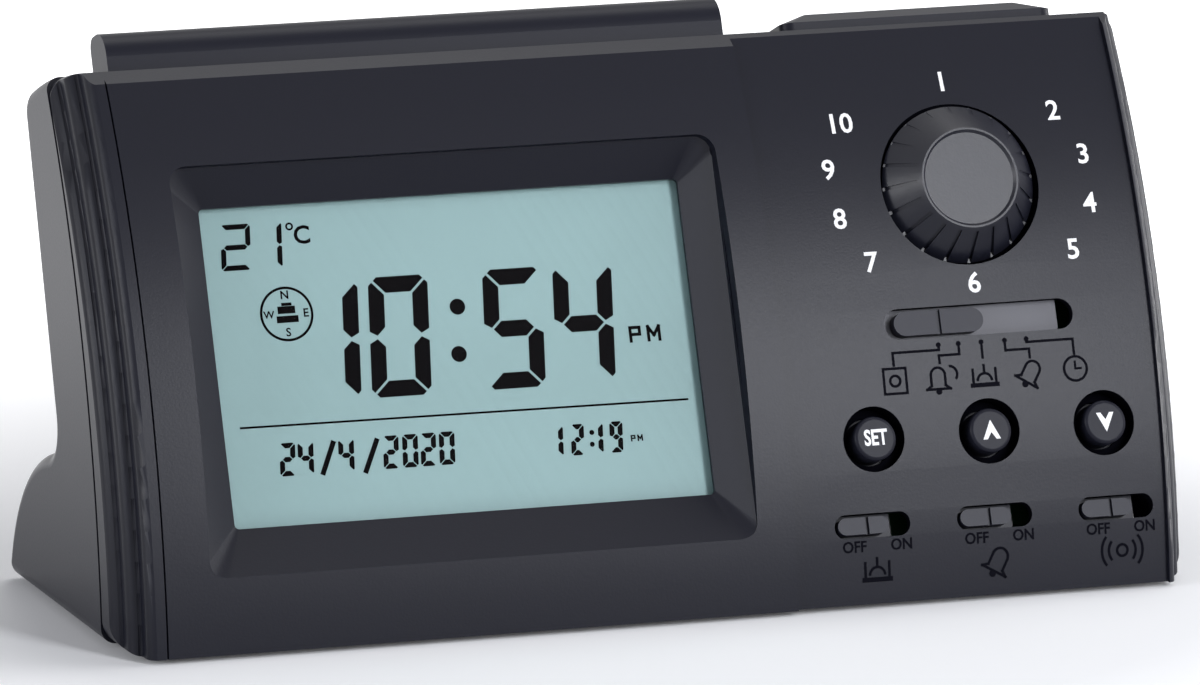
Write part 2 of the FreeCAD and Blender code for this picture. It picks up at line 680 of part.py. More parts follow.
def flutes(body):
    """The rounded ribs at both ends and the fine line beside the display's ribs."""
    drawn = sketch(body, "XZ_Plane", "0", "-face_radius")
    outside = "half + 5"
    for sign, rows in ((-1, LEFT_LINE + RIBS), (1, RIBS)):
        corners = [("%d * (%s)" % (sign, outside), "face_radius + 5"),
                   ("%d * (half - %g)" % (sign, rows[0][0]), "face_radius + 5")]
        for inset, setback, *bend in rows:
            corners.append(("%d * (half - %g)" % (sign, inset), "face_radius - %g" % setback)
                           + tuple("%g" % (sign * radius) for radius in bend))
        corners.append(("%d * (%s)" % (sign, outside), "face_radius - %g" % rows[-1][1]))
        outline(drawn, corners)
    turn(body, "Groove", drawn, "H_Axis", "face_sweep", both=True)


def top_openings(body):
    """Openings in the top wall for the bar and the stop key."""
    drawn = above(body, "top_up - wall - 3")
    for left, right, rear in (("bar_left", "bar_right", "bar_rear"), ("key_left", "key_right", "key_rear")):
        box(drawn, left + " - touch_gap", "-(%s + touch_gap)" % rear, right + " + touch_gap",
            "-(bar_front - touch_gap)")
    pocket(body, drawn, "wall + 6")


def make_front_shell():
    body = piece("front_shell")
    case_block(body)
    seam_cut(body, True)
    top = value("top_up")
    round_edges(body, at_ends(body, lambda at: at.y > top or abs(floor_height(at)) < 0.01), "front_round")
    drawn = side(body)
    inner_y = "(centre_y - sqrt((face_radius - face_wall)^2 - (wall - centre_z)^2))"
    start = level(inner_y, "wall")
    back = level("70", "wall")
    roof = "(top_up - wall)"
    roof_deep = "(face_radius - sqrt((face_radius - face_wall)^2 - %s^2))" % roof
    outline(drawn, [(start[0], start[1], "-(face_radius - face_wall)"), (roof, "-" + roof_deep), (roof, "-far"), back])
    pocket(body, drawn, "front_room", both=True)
    flutes(body)
    # bosses behind the selector and the round buttons, cut level with the recessed control panel
    spots = [(x, "button_up") for _, x in BUTTONS]
    rods(body, [("control_x", "knob_up")], "knob_boss_d", "0", "knob_boss_deep")
    rods(body, spots, "button_boss_d", "0", "button_boss_deep")
    drawn = sketch(body, "XZ_Plane", "0", "-face_radius")
    box(drawn, "panel_left", "face_radius - panel_deep", "panel_right", "face_radius + 5")
    turn(body, "Groove", drawn, "H_Axis", "face_sweep", both=True)
    # display surround: a tub whose walls slope down to the window
    first = front(body, "bezel_deep - 1")
    round_box(first, "bezel_x", "bezel_up", "bezel_width + 2 * tub_wall", "bezel_height + 2 * tub_wall",
              "bezel_round + tub_wall")
    second = front(body, "rim_deep")
    round_box(second, "window_x", "window_up", "window_width + 2 * rim_land", "window_height + 2 * rim_land", "bezel_round")
    loft(body, "AdditiveLoft", first, second)
    face_trim(body)
    drawn = front(body, "-1")
    round_box(drawn, "bezel_x", "bezel_up", "bezel_width", "bezel_height", "bezel_round")
    pocket(body, drawn, "bezel_deep + 1")
    first = front(body, "bezel_deep")
    round_box(first, "bezel_x", "bezel_up", "bezel_width", "bezel_height", "bezel_round")
    second = front(body, "window_deep")
    round_box(second, "window_x", "window_up", "window_width", "window_height", "window_round")
    loft(body, "SubtractiveLoft", first, second)
    drawn = front(body, "window_deep - 0.2")
    round_box(drawn, "window_x", "window_up", "window_width", "window_height", "window_round")
    pocket(body, drawn, "2")
    # posts of the boards, wells and bores
    for x, up in BOARD_POSTS:
        rods(body, [(x, up)], "post_d", face_deep(up) + " + face_wall - 0.7", "board_deep")
    bore(body, [("control_x", "knob_up")], "knob_well_d", "-1", "knob_well_deep")
    bore(body, [("control_x", "knob_up")], "shaft_d + 2 * touch_gap", "1", "8")
    bore(body, spots, "button_well_d", "-1", "button_well_deep")
    bore(body, spots, "button_d + 0.6", "1", "8")
    bore(body, BOARD_POSTS, "screw_d + 2 * fit", "board_deep - screw_bite - screw_spare", "board_deep + 1")
    # slots of the sliders
    drawn = front(body, "-1")
    stadium(drawn, "slot_left", "slot_right", "slot_up", "slot_high")
    pocket(body, drawn, "6")
    drawn = front(body, "1")
    for _, left in TOGGLES:
        stadium(drawn, left, left + " + toggle_slot_long", "toggle_up", "toggle_slot_high")
    pocket(body, drawn, "9")
    # room for the shutter strip and the last slider's flange in the right end wall
    cut_box(body, "front_room / 2 - 1", "shutter_right + mode_travel + touch_gap",
            "slot_up - shutter_high / 2 - touch_gap", "slot_up + shutter_high / 2 + touch_gap",
            "shutter_deep - touch_gap", "shutter_deep + shutter_thick + touch_gap")
    reach = "toggle_reach + touch_gap"
    cut_box(body, "front_room / 2 - 1",
            TOGGLES[2][1] + " + toggle_inset + toggle_long + toggle_flange + toggle_travel + touch_gap",
            "toggle_up - (%s)" % reach, "toggle_up + %s" % reach,
            "toggle_rear - touch_gap", "toggle_rear + toggle_flange_thick + touch_gap")
    bore(body, CASE_SCREWS[:2], "case_screw_d + 2 * fit", "8.6", "16")
    bore(body, CASE_SCREWS[2:], "case_screw_d + 2 * fit", "6.6", "16")
    top_openings(body)
    # shadow groove round the joint
    high, low = "top_up + 3", "-50"
    strip = [(low, "-" + seam_deep_at(low), "-seam_radius"), (high, "-" + seam_deep_at(high)),
             (high, "-%s + seam_groove" % seam_deep_at(high), "seam_radius"),
             (low, "-%s + seam_groove" % seam_deep_at(low))]
    for sign in (-1, 1):
        drawn = side(body, "%d * (half - seam_groove_deep)" % sign)
        outline(drawn, strip)
        pocket(body, drawn, "5", back=sign > 0)
    start = "top_up + top_rise - seam_groove_deep"
    drawn = side(body)
    box(drawn, start, "-%s - 2" % seam_deep_at(start), high, "-%s + seam_groove" % seam_deep_at(start))
    pocket(body, drawn, "case_width - 1", both=True)
    return body


def make_rear_shell():
    body = piece("rear_shell")
    case_block(body)
    rear = -value("seam_deep")
    round_edges(body, at_ends(body, lambda at: at.z < rear), "end_round")
    drawn = side(body)
    fr = "(foot_radius - wall)"
    knee_deep = "(rear_low_deep - wall)"
    knee_up = "(foot_up + sqrt(%s^2 - (foot_deep - %s)^2))" % (fr, knee_deep)
    heel = level("(foot_y + sqrt(%s^2 - (wall - foot_z)^2))" % fr, "wall")
    before = level("-12", "wall")
    roof = "(top_up - wall)"
    outline(drawn, [(roof, "-3"), (roof, "-(rear_top_deep - wall)"),
                    (knee_up, "-" + knee_deep, "-(foot_radius - wall)"), heel, before])
    pocket(body, drawn, "case_width - 2 * wall", both=True)
    # posts, ribs and the seat of the loudspeaker
    rods(body, CASE_SCREWS[:2], "case_post_d", "10", "29")
    rods(body, CASE_SCREWS[2:], "case_post_d", "10", "31.6")
    for step in range(5):
        start = "top_board_left + 4 + %d * (top_board_right - top_board_left - 8 - rib_thick) / 4" % step
        block(body, start, start + " + rib_thick", "rib_low", "top_board_up - board_thick", "11", "29")
    rods(body, [("speaker_x", "speaker_up")], "speaker_d + 2", "speaker_seat", "30")
    clamp_posts = [("speaker_x - 24", "speaker_up"), ("speaker_x + 24", "speaker_up")]
    rods(body, clamp_posts, "post_d", "speaker_seat - 2", "30")
    bore(body, [("speaker_x", "speaker_up")], "speaker_d - 2 * speaker_ring", "speaker_seat - 1", "28.6")
    drawn = front(body, "speaker_seat - 1")
    ring(drawn, "speaker_x", "speaker_up", "grille_d")
    for row, count in ((1, 6), (2, 12), (3, 18)):
        for step in range(count):
            angle = "%s" % (360.0 * step / count)
            ring(drawn, "speaker_x + %d * grille_step * cos(%s)" % (row, angle),
                 "speaker_up + %d * grille_step * sin(%s)" % (row, angle), "grille_d")
    pocket(body, drawn, "12")
    bore(body, clamp_posts, "1.8", "speaker_seat - 3", "speaker_seat + 1.4")
    seam_cut(body, False)
    bore(body, CASE_SCREWS, "case_screw_d + 0.4", "5", "60")
    drawn = front(body, "case_head_seat")
    for x, up in CASE_SCREWS[:2]:
        ring(drawn, x, up, "case_head_d + 0.6")
    pocket(body, drawn, "10")
    drawn = front(body, "case_head_low_seat")
    for x, up in CASE_SCREWS[2:]:
        ring(drawn, x, up, "case_head_d + 0.6")
    pocket(body, drawn, "10")
    top_openings(body)
    return body


# ---- pieces behind the face ----------------------------------------------------------

def plate(label, left, right, low, high, near, rear):
    """A plain plate between two depths."""
    body = piece(label)
    block(body, left, right, low, high, near, rear)
    return body


def make_display():
    """Window, LCD, light guide, their holder and the contact strip."""
    half_wide = "window_width / 2 + glass_edge"
    half_high = "window_height / 2 + glass_edge"
    edges = ["window_x - (%s)" % half_wide, "window_x + (%s)" % half_wide,
             "window_up - (%s)" % half_high, "window_up + (%s)" % half_high]
    plate("display_lens", *edges, "rim_deep", "rim_deep + lens_thick")
    inner = [edges[0] + " + 0.2", edges[1] + " - 0.2", edges[2] + " + 0.2", edges[3] + " - 0.2"]
    plate("lcd_panel", *inner, "lcd_deep", "lcd_deep + lcd_thick")
    guide_deep = "lcd_deep + lcd_thick"
    plate("light_guide", edges[0] + " + 0.2", edges[1] + " - 2.2", edges[2] + " + 3.2", edges[3] + " - 0.2",
          guide_deep, guide_deep + " + guide_thick")
    plate("backlight_led", edges[1] + " - 2.2", edges[1] + " - 0.4", "window_up - led_high / 2",
          "window_up + led_high / 2", "board_deep - 2.6", "board_deep")
    plate("zebra_strip", edges[0] + " + strip_inset", edges[1] + " - strip_inset", edges[2] + " + 0.6", edges[2] + " + 2.6", guide_deep, "board_deep")
    body = piece("lcd_frame")
    wall = "frame_wall"
    block(body, edges[0] + " - " + wall, edges[1] + " + " + wall, edges[2] + " - " + wall, edges[3] + " + " + wall,
          "rim_deep", "board_deep")
    cut_box(body, *edges, "rim_deep - 1", "board_deep + 1")


def make_boards():
    """The two boards, what sits on them and the ribbon between them."""
    main = piece("main_board")
    block(main, "main_left", "main_right", "board_foot", "board_top", "board_deep", "board_rear")
    bore(main, BOARD_POSTS[:4], "screw_d + 0.3", "board_deep - 1", "board_rear + 1")
    panel = piece("control_board")
    block(panel, "panel_board_left", "panel_board_right", "panel_board_foot", "board_top", "board_deep", "board_rear")
    bore(panel, BOARD_POSTS[4:], "screw_d + 0.3", "board_deep - 1", "board_rear + 1")
    chip_left = "main_left + chip_inset"
    plate("controller_chip", chip_left, chip_left + " + chip_side", "chip_up - chip_side / 2",
          "chip_up + chip_side / 2", "board_rear", "board_rear + 1.6")
    sensor_left, sensor_low = "main_left + sensor_inset", "board_foot + sensor_rise"
    plate("temperature_sensor", sensor_left, sensor_left + " + sensor_side", sensor_low,
          sensor_low + " + sensor_side", "board_rear", "board_rear + 1.5")
    plate("ribbon_cable", "main_right - ribbon_hold", "panel_board_left + ribbon_hold", "-ribbon_high / 2",
          "ribbon_high / 2", "board_rear", "board_rear + 0.5")
    screws = piece("board_screws")
    rods(screws, BOARD_POSTS, "screw_head_d", "board_rear", "board_rear + screw_head_high")
    rods(screws, BOARD_POSTS, "screw_d", "board_deep - screw_bite", "board_rear")


def make_selector():
    """Knob with its radial marks, shaft and rotary switch, drawn about the turning axis."""
    about = {"x": "control_x", "y": "slab_y + knob_up * sin(slab_lean)", "z": "slab_z + knob_up * cos(slab_lean)"}
    knob = piece("selector_knob", **about)
    drawn = sketch(knob, "XZ_Plane")
    cap = "knob_cap_d / 2"
    outline(drawn, [
        ("shaft_d / 2 + fit", "-knob_foot"), ("knob_d / 2", "-knob_foot"), ("knob_d / 2", "-(knob_foot - 1)"),
        (cap, "-(knob_top + 0.3)"), (cap + " - 0.25", "-knob_top"), (cap + " - 0.55", "-knob_top"),
        (cap + " - 0.95", "-(knob_top + knob_dish)"), ("0", "-(knob_top + knob_dish)"),
        ("0", "-(knob_top + 2.4)"), ("shaft_d / 2 + fit", "-(knob_top + 2.4)")])
    turn(knob, "Revolution", drawn, "V_Axis")
    drawn = sketch(knob, "XZ_Plane", "-mark_wide / 2")
    outline(drawn, [
        (cap + " + 0.3", "-(knob_top + 0.85)"), (cap + " + 3", "-(knob_top - 1)"), ("knob_d / 2 + 3", "-(knob_top - 1)"),
        ("knob_d / 2 + 3", "-(knob_foot - 0.7)"), ("knob_d / 2 - 0.4", "-(knob_foot - 1)")])
    groove = pocket(knob, drawn, "mark_wide")
    pattern = knob.newObject("PartDesign::PolarPattern", "Marks")
    pattern.Originals = [groove]
    pattern.Axis = (drawn, ["V_Axis"])
    pattern.Angle = 360
    pattern.setExpression("Occurrences", spell("knob_marks"))
    knob.Tip = pattern
    doc.recompute()
    shaft = piece("rotary_shaft", **about)
    rods(shaft, [("0", "0")], "shaft_d", "knob_top + 2.5", "rotary_front + 6")
    switch = piece("rotary_switch", **about)
    rods(switch, [("0", "0")], "rotary_d", "rotary_front", "board_deep")
    bore(switch, [("0", "0")], "shaft_d + 2 * fit", "rotary_front - 1", "rotary_front + 6.4")


def make_buttons():
    """Round buttons, their switches and plungers."""
    for label, x in BUTTONS:
        button = piece(label)
        rods(button, [(x, "button_up")], "button_d", "button_top", "button_boss_deep + 0.3")
        round_edges(button, lambda m, e: abs(m.z + value("button_top")) < 0.01, "0.6")
        rods(button, [(x, "button_up")], "button_flange_d", "button_boss_deep + 0.3",
             "button_boss_deep + 0.3 + button_flange_thick")
        rods(button, [(x, "button_up")], "button_stem_d", "button_boss_deep + 0.3 + button_flange_thick",
             "plunger_front")
        plunger = piece(label.replace("button", "plunger"))
        rods(plunger, [(x, "button_up")], "plunger_d", "plunger_front", "plunger_rear")
    switches = piece("button_switches")
    drawn = front(switches, "board_deep")
    for _, x in BUTTONS:
        box(drawn, x + " - switch_side / 2", "button_up - switch_side / 2", x + " + switch_side / 2",
            "button_up + switch_side / 2")
    pad(switches, drawn, "board_deep - switch_front")
    bore(switches, [(x, "button_up") for _, x in BUTTONS], "plunger_d + 2 * fit", "switch_front - 1",
         "plunger_rear + button_travel + 0.2")


def make_mode_slider():
    """Thumb piece, shutter strip, lever and switch of the mode selector."""
    slider = piece("mode_slider")
    drawn = front(slider, "shutter_deep")
    stadium(drawn, "mode_left", "mode_left + mode_long", "slot_up", "mode_high")
    pad(slider, drawn, "shutter_deep - mode_top")
    middle = "mode_left + mode_long / 2"
    cut_box(slider, middle + " - 0.35", middle + " + 0.35", "slot_up - 3", "slot_up + 3", "mode_top - 1",
            "mode_top + 0.5")
    shutter = piece("mode_shutter")
    block(shutter, "shutter_left", "shutter_right", "slot_up - shutter_high / 2", "slot_up + shutter_high / 2",
          "shutter_deep", "shutter_deep + shutter_thick")
    lever = piece("mode_lever")
    block(lever, middle + " - lever_wide / 2", middle + " + lever_wide / 2", "slot_up - 1", "slot_up + 1",
          "shutter_deep + shutter_thick", "lever_deep")
    switch = piece("mode_switch")
    block(switch, middle + " - 4", middle + " + mode_travel + 4", "slot_up - mode_switch_high / 2",
          "slot_up + mode_switch_high / 2", "mode_switch_front", "board_deep")
    cut_box(switch, middle + " - lever_wide / 2 - 0.3", middle + " + mode_travel + lever_wide / 2 + 0.3",
            "slot_up - 1.3", "slot_up + 1.3", "mode_switch_front - 1", "lever_deep + 0.3")


def make_toggles():
    """On/off sliders in their slots and the slide switches behind them."""
    for label, left in TOGGLES:
        slider = piece(label)
        start = left + " + toggle_inset"
        top = "toggle_deep + panel_deep - toggle_proud"
        middle = start + " + toggle_long / 2"
        rear = "toggle_rear"
        drawn = front(slider, rear)
        stadium(drawn, start, start + " + toggle_long", "toggle_up", "toggle_high")
        pad(slider, drawn, "%s - (%s)" % (rear, top))
        cut_box(slider, middle + " + 0.3", middle + " + 0.9", "toggle_up - 3", "toggle_up + 3", top + " - 1",
                top + " + 0.6")
        block(slider, start + " - toggle_flange", start + " + toggle_long + toggle_flange",
              "toggle_up - toggle_reach", "toggle_up + toggle_reach", rear,
              rear + " + toggle_flange_thick")
        block(slider, middle + " - toggle_stem / 2", middle + " + toggle_stem / 2", "toggle_up - 1", "toggle_up + 1",
              rear + " + toggle_flange_thick", "toggle_stem_deep")
    switches = piece("slide_switches")
    drawn = front(switches, "board_deep")
    for _, left in TOGGLES:
        centre = left + " + toggle_inset + toggle_long / 2 + toggle_travel / 2"
        box(drawn, centre + " - toggle_switch_long / 2", "toggle_up - toggle_switch_high / 2",
            centre + " + toggle_switch_long / 2", "toggle_up + toggle_switch_high / 2")
    pad(switches, drawn, "board_deep - toggle_switch_front")
    drawn = front(switches, "toggle_switch_front - 1")
    for _, left in TOGGLES:
        centre = left + " + toggle_inset + toggle_long / 2 + toggle_travel / 2"
        reach = "(toggle_travel + toggle_stem) / 2 + 0.3"
        box(drawn, centre + " - (%s)" % reach, "toggle_up - 1.3", centre + " + (%s)" % reach, "toggle_up + 1.3")
    pocket(switches, drawn, "toggle_stem_deep + 0.3 - toggle_switch_front + 1")


# ---- the keys on top -------------------------------------------------------------------

def cross(body, left, right, corners):
    """Pad a side outline between two widths."""
    drawn = side(body, left)
    outline(drawn, corners)
    return pad(body, drawn, "(%s) - (%s)" % (right, left))


def hollow(body, left, right, near, rear, roof):
    """Hollow a key from below, leaving its wall."""
    drawn = above(body, "key_low - 1")
    box(drawn, left + " + bar_wall", "-(%s - bar_wall)" % rear, right + " - bar_wall", "-(%s + bar_wall)" % near)
    pocket(body, drawn, "%s - bar_wall - key_low + 1" % roof)


def pusher(body, spots, roof):
    """Blocks inside a key that press the plungers."""
    drawn = above(body, roof + " - bar_wall + 0.2")
    for x in spots:
        box(drawn, "%s - 2" % x, "-(top_switch_deep + 2.6)", "%s + 2" % x, "-(top_switch_deep - 2.6)")
    pad(body, drawn, roof + " - bar_wall + 0.2 - top_plunger_up")


def make_top_keys():
    bar = piece("snooze_bar")
    cross(bar, "bar_left", "bar_right", [
        ("key_low", "-bar_rear"), ("key_low", "-bar_front"), ("bar_top - bar_round_front", "-bar_front", "-bar_round_front"),
        ("bar_top", "-(bar_front + bar_round_front)"), ("bar_top", "-(bar_rear - bar_round_rear)", "-bar_round_rear"),
        ("bar_top - bar_round_rear", "-bar_rear")])
    hollow(bar, "bar_left", "bar_right", "bar_front", "bar_rear", "(bar_top - bar_roof)")
    pusher(bar, ["snooze_left_x", "snooze_right_x"], "(bar_top - bar_roof)")
    block(bar, "bar_left + key_hook_inset", "bar_right - key_hook_inset", "key_low", "key_low + key_hook_high", "bar_rear - 1",
          "bar_rear + key_hook")
    key = piece("stop_key")
    middle, mid_deep = "(key_left + key_right) / 2", "-(bar_front + key_rear) / 2"
    wide, deep = "(key_right - key_left)", "(key_rear - bar_front)"
    walls = above(key, "key_edge")
    round_box(walls, middle, mid_deep, wide, deep, "key_corner")
    pad(key, walls, "key_edge - key_low")
    first = above(key, "key_edge")
    round_box(first, middle, mid_deep, wide, deep, "key_corner")
    second = above(key, "key_top")
    round_box(second, middle, mid_deep, wide + " - 2 * key_bevel_end", deep + " - 2 * key_bevel_side", "0.6")
    loft(key, "AdditiveLoft", first, second)
    hollow(key, "key_left", "key_right", "bar_front", "key_rear", "(key_edge + 0.4)")
    pusher(key, ["stop_x"], "(key_edge + 0.4)")
    block(key, "key_left + key_hook_inset", "key_right - key_hook_inset", "key_low", "key_low + key_hook_high", "key_rear - 1",
          "key_rear + key_hook")
    board = piece("top_key_board")
    block(board, "top_board_left", "top_board_right", "top_board_up - board_thick", "top_board_up",
          "top_board_front", "top_board_rear")
    groups = (("snooze", ["snooze_left_x", "snooze_right_x"]), ("stop", ["stop_x"]))
    for name, spots in groups:
        switch = piece(name + ("_switches" if len(spots) > 1 else "_switch"))
        drawn = above(switch, "top_switch_up")
        for x in spots:
            box(drawn, "%s - switch_side / 2" % x, "-(top_switch_deep + switch_side / 2)",
                "%s + switch_side / 2" % x, "-(top_switch_deep - switch_side / 2)")
        pad(switch, drawn, "top_switch_up - top_board_up")
        drawn = above(switch, "top_plunger_low - top_travel - 0.2")
        for x in spots:
            ring(drawn, x, "-top_switch_deep", "plunger_d + 2 * fit")
        pocket(switch, drawn, "5")
        plunger = piece(name + ("_plungers" if len(spots) > 1 else "_plunger"))
        drawn = above(plunger, "top_plunger_up")
        for x in spots:
            ring(drawn, x, "-top_switch_deep", "plunger_d")
        pad(plunger, drawn, "top_plunger_up - top_plunger_low")


# ---- loudspeaker and case screws -------------------------------------------------------

def make_speaker():
    about = {"x": "speaker_x", "y": "slab_y + speaker_up * sin(slab_lean)",
             "z": "slab_z + speaker_up * cos(slab_lean)"}
    frame = piece("speaker_frame", **about)
    drawn = sketch(frame, "XZ_Plane")
    outer = "speaker_d / 2"
    outline(drawn, [
        ("magnet_d / 2 - 1", "-(basket_deep + 0.8)"), ("magnet_d / 2 - 1", "-basket_deep"),
        ("magnet_d / 2 + 2", "-basket_deep"), (outer + " - 3.6", "-(speaker_seat - 1.6)"),
        (outer, "-(speaker_seat - 1.6)"), (outer, "-speaker_seat"), (outer + " - 3", "-speaker_seat"),
        (outer + " - 3.8", "-(speaker_seat - 0.8)"), ("magnet_d / 2 + 1.6", "-(basket_deep + 0.8)")])
    turn(frame, "Revolution", drawn, "V_Axis")
    cone = piece("speaker_cone", **about)
    drawn = sketch(cone, "XZ_Plane")
    outline(drawn, [
        ("0", "-(speaker_seat - 2.4)"), ("4", "-(speaker_seat - 2.2)"), (outer + " - 4.2", "-(speaker_seat - 0.5)"),
        (outer + " - 3.1", "-(speaker_seat - 0.1)"), (outer + " - 3.4", "-(speaker_seat + 0.2)"),
        (outer + " - 4.4", "-(speaker_seat - 0.1)"), ("4", "-(speaker_seat - 1.8)"), ("0", "-(speaker_seat - 1.9)")])
    turn(cone, "Revolution", drawn, "V_Axis")
    magnet = piece("speaker_magnet", **about)
    rods(magnet, [("0", "0")], "magnet_d", "magnet_deep", "basket_deep")
    clamps = piece("speaker_clamps")
    posts = [("speaker_x - 24", "speaker_up"), ("speaker_x + 24", "speaker_up")]
    drawn = front(clamps, "speaker_seat - 2")
    for sign in (-1, 1):
        inner, outside = "speaker_x + %d * 18.4" % sign, "speaker_x + %d * 27" % sign
        first, last = (outside, inner) if sign < 0 else (inner, outside)
        box(drawn, first, "speaker_up - 3", last, "speaker_up + 3")
    pad(clamps, drawn, "1.2")
    bore(clamps, posts, "2.2", "speaker_seat - 4", "speaker_seat")
    screws = piece("speaker_screws")
    rods(screws, posts, "3.8", "speaker_seat - 4.4", "speaker_seat - 3.2")
    rods(screws, posts, "1.7", "speaker_seat - 3.2", "speaker_seat + 1")


def make_case_screws():
    screws = piece("case_screws")
    for spots, seat, tip in ((CASE_SCREWS[:2], "case_head_seat", "9"), (CASE_SCREWS[2:], "case_head_low_seat", "7")):
        rods(screws, spots, "case_head_d", seat, seat + " + 1.6")
        rods(screws, spots, "case_screw_d", tip, seat)


# ---- the foot: battery box, cells, door, rubber feet, in the upright frame --------------

def floor_sketch(body, z="0"):
    """A level sketch at a height over the case floor, kept in a leaning body."""
    drawn = sketch(body, "XY_Plane")
    drawn.AttachmentOffset = FreeCAD.Placement(FreeCAD.Vector(), FreeCAD.Rotation(FreeCAD.Vector(1, 0, 0), -68))
    drawn.setExpression("AttachmentOffset.Rotation.Angle", spell("(slab_lean - 90) * 1deg"))
    drawn.setExpression("AttachmentOffset.Base.y", spell(level_up("0", z)))
    drawn.setExpression("AttachmentOffset.Base.z", spell("-" + level_deep("0", z)))
    return drawn


def cut_floor(body):
    """Battery opening, hinge bores, finger notch and seats of the rubber feet in the rear shell."""
    drawn = floor_sketch(body, "-1")
    box(drawn, "-bay_half", "bay_front", "bay_half", "bay_rear")
    pocket(body, drawn, "wall + 2", back=True)
    drawn = floor_sketch(body, "-1")
    stadium(drawn, "-8", "8", "bay_rear", "4")
    pocket(body, drawn, "1.9", back=True)
    drawn = floor_sketch(body, "-1")
    for x in ("-foot_pad_x", "foot_pad_x"):
        for y in ("foot_pad_front", "foot_pad_rear"):
            ring(drawn, x, y, "foot_pad_d + 2 * fit")
    pocket(body, drawn, "1.8", back=True)
    hinge = level("hinge_y", "hinge_z")
    drawn = side(body, "-(bay_half + pin_long)")
    ring(drawn, hinge[0], hinge[1], "pin_d + 2 * fit")
    pocket(body, drawn, "2 * (bay_half + pin_long)", back=True)


def make_batteries():
    """Cells, contact plates, springs and the box that holds them."""
    cells = level_piece("batteries")
    rows = (("cell_front_y", 1), ("cell_rear_y", -1))
    for y, sign in rows:
        start = "contact_x - cell_long" if sign > 0 else "-contact_x + nub_long"
        drawn = sketch(cells, "YZ_Plane", start)
        ring(drawn, y, "cell_z", "cell_d")
        pad(cells, drawn, "cell_long - nub_long")
        drawn = sketch(cells, "YZ_Plane", "contact_x - nub_long" if sign > 0 else "-contact_x")
        ring(drawn, y, "cell_z", "nub_d")
        pad(cells, drawn, "nub_long")
    shell = level_piece("battery_box")
    drawn = sketch(shell, "XY_Plane", "wall")
    box(drawn, "-box_half", "bay_front - box_wall", "box_half", "bay_rear + box_wall")
    pad(shell, drawn, "box_high - wall")
    drawn = sketch(shell, "XY_Plane", "box_high - box_wall")
    box(drawn, "-bay_half", "bay_front", "bay_half", "bay_rear")
    pocket(shell, drawn, "box_high")
    contacts = level_piece("battery_contacts")
    low, top = "cell_z - contact_side / 2", "cell_z + contact_side / 2"
    drawn = sketch(contacts, "YZ_Plane", "contact_x")
    for y, _ in rows:
        box(drawn, y + " - contact_side / 2", low, y + " + contact_side / 2", top)
    pad(contacts, drawn, "contact_thick")
    drawn = sketch(contacts, "YZ_Plane", "-bay_half")
    box(drawn, "cell_front_y - contact_side / 2", low, "cell_rear_y + contact_side / 2", top)
    pad(contacts, drawn, "contact_thick")
    springs = level_piece("battery_springs")
    for y, sign in rows:
        coil = springs.newObject("PartDesign::AdditiveHelix", "Coil")
        profile = sketch(springs, "XZ_Plane", "-(%s)" % y)
        begin = "-contact_x + spring_wire / 2" if sign > 0 else "contact_x - spring_long + spring_wire / 2"
        ring(profile, begin, "cell_z + spring_d / 2", "spring_wire")
        axis = profile.addGeometry(Part.LineSegment(FreeCAD.Vector(-30, value("cell_z"), 0),
                                                    FreeCAD.Vector(30, value("cell_z"), 0)), True)
        profile.addConstraint(Sketcher.Constraint("Horizontal", axis))
        hold(profile, "DistanceY", (-1, 1, axis, 1), "cell_z")
        coil.Profile = profile
        coil.ReferenceAxis = (profile, ["Axis0"])
        coil.Mode = 0
        coil.setExpression("Pitch", spell("spring_pitch"))
        coil.setExpression("Height", spell("spring_long - spring_wire"))
        settle(springs, coil)


def make_door():
    """Battery door with its pins, drawn about the hinge line."""
    door = doc.addObject("PartDesign::Body", "battery_door")
    door.Label = "battery_door"
    door.setExpression("Placement.Base.y", spell("shift_y"))
    door.setExpression("Placement.Base.z", spell("foot_pad"))
    PIECES.append(door)
    drawn = sketch(door, "XY_Plane")
    box(drawn, "-bay_half + touch_gap", "bay_front + touch_gap + 0.1", "bay_half - touch_gap", "bay_rear - touch_gap")
    pad(door, drawn, "door_thick")
    drawn = sketch(door, "YZ_Plane", "-(bay_half + pin_long - 0.2)")
    ring(drawn, "hinge_y", "hinge_z", "pin_d")
    pad(door, drawn, "2 * (bay_half + pin_long - 0.2)")


def make_feet():
    feet = level_piece("rubber_feet")
    drawn = sketch(feet, "XY_Plane", "-foot_pad")
    for x in ("-foot_pad_x", "foot_pad_x"):
        for y in ("foot_pad_front", "foot_pad_rear"):
            ring(drawn, x, y, "foot_pad_d")
    pad(feet, drawn, "foot_pad + 0.8")


def finish():
    """Check every object and write the pieces."""
    doc.recompute()
    os.makedirs("parts", exist_ok=True)
    for thing in doc.Objects:
        if "Invalid" in thing.State or "Error" in thing.State:
            raise ValueError("%s: %s" % (thing.Label, thing.State))
    for made in PIECES:
        shape = made.Shape
        if shape.isNull() or not shape.isValid() or not shape.Solids:
            raise ValueError("%s has no sound shape" % made.Label)
        shape.exportStep("parts/%s.step" % made.Label)
        print(made.Label, len(shape.Solids), round(shape.Volume, 1))


front_shell = make_front_shell()
rear_shell = make_rear_shell()
cut_floor(rear_shell)
make_display()
make_boards()
make_selector()
make_buttons()
make_mode_slider()
make_toggles()
make_top_keys()
make_speaker()
make_case_screws()
make_batteries()
make_door()
make_feet()
finish()
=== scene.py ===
"""Finishes, prints, display segments, floor, lights and camera of the azan clock."""

import json
import math

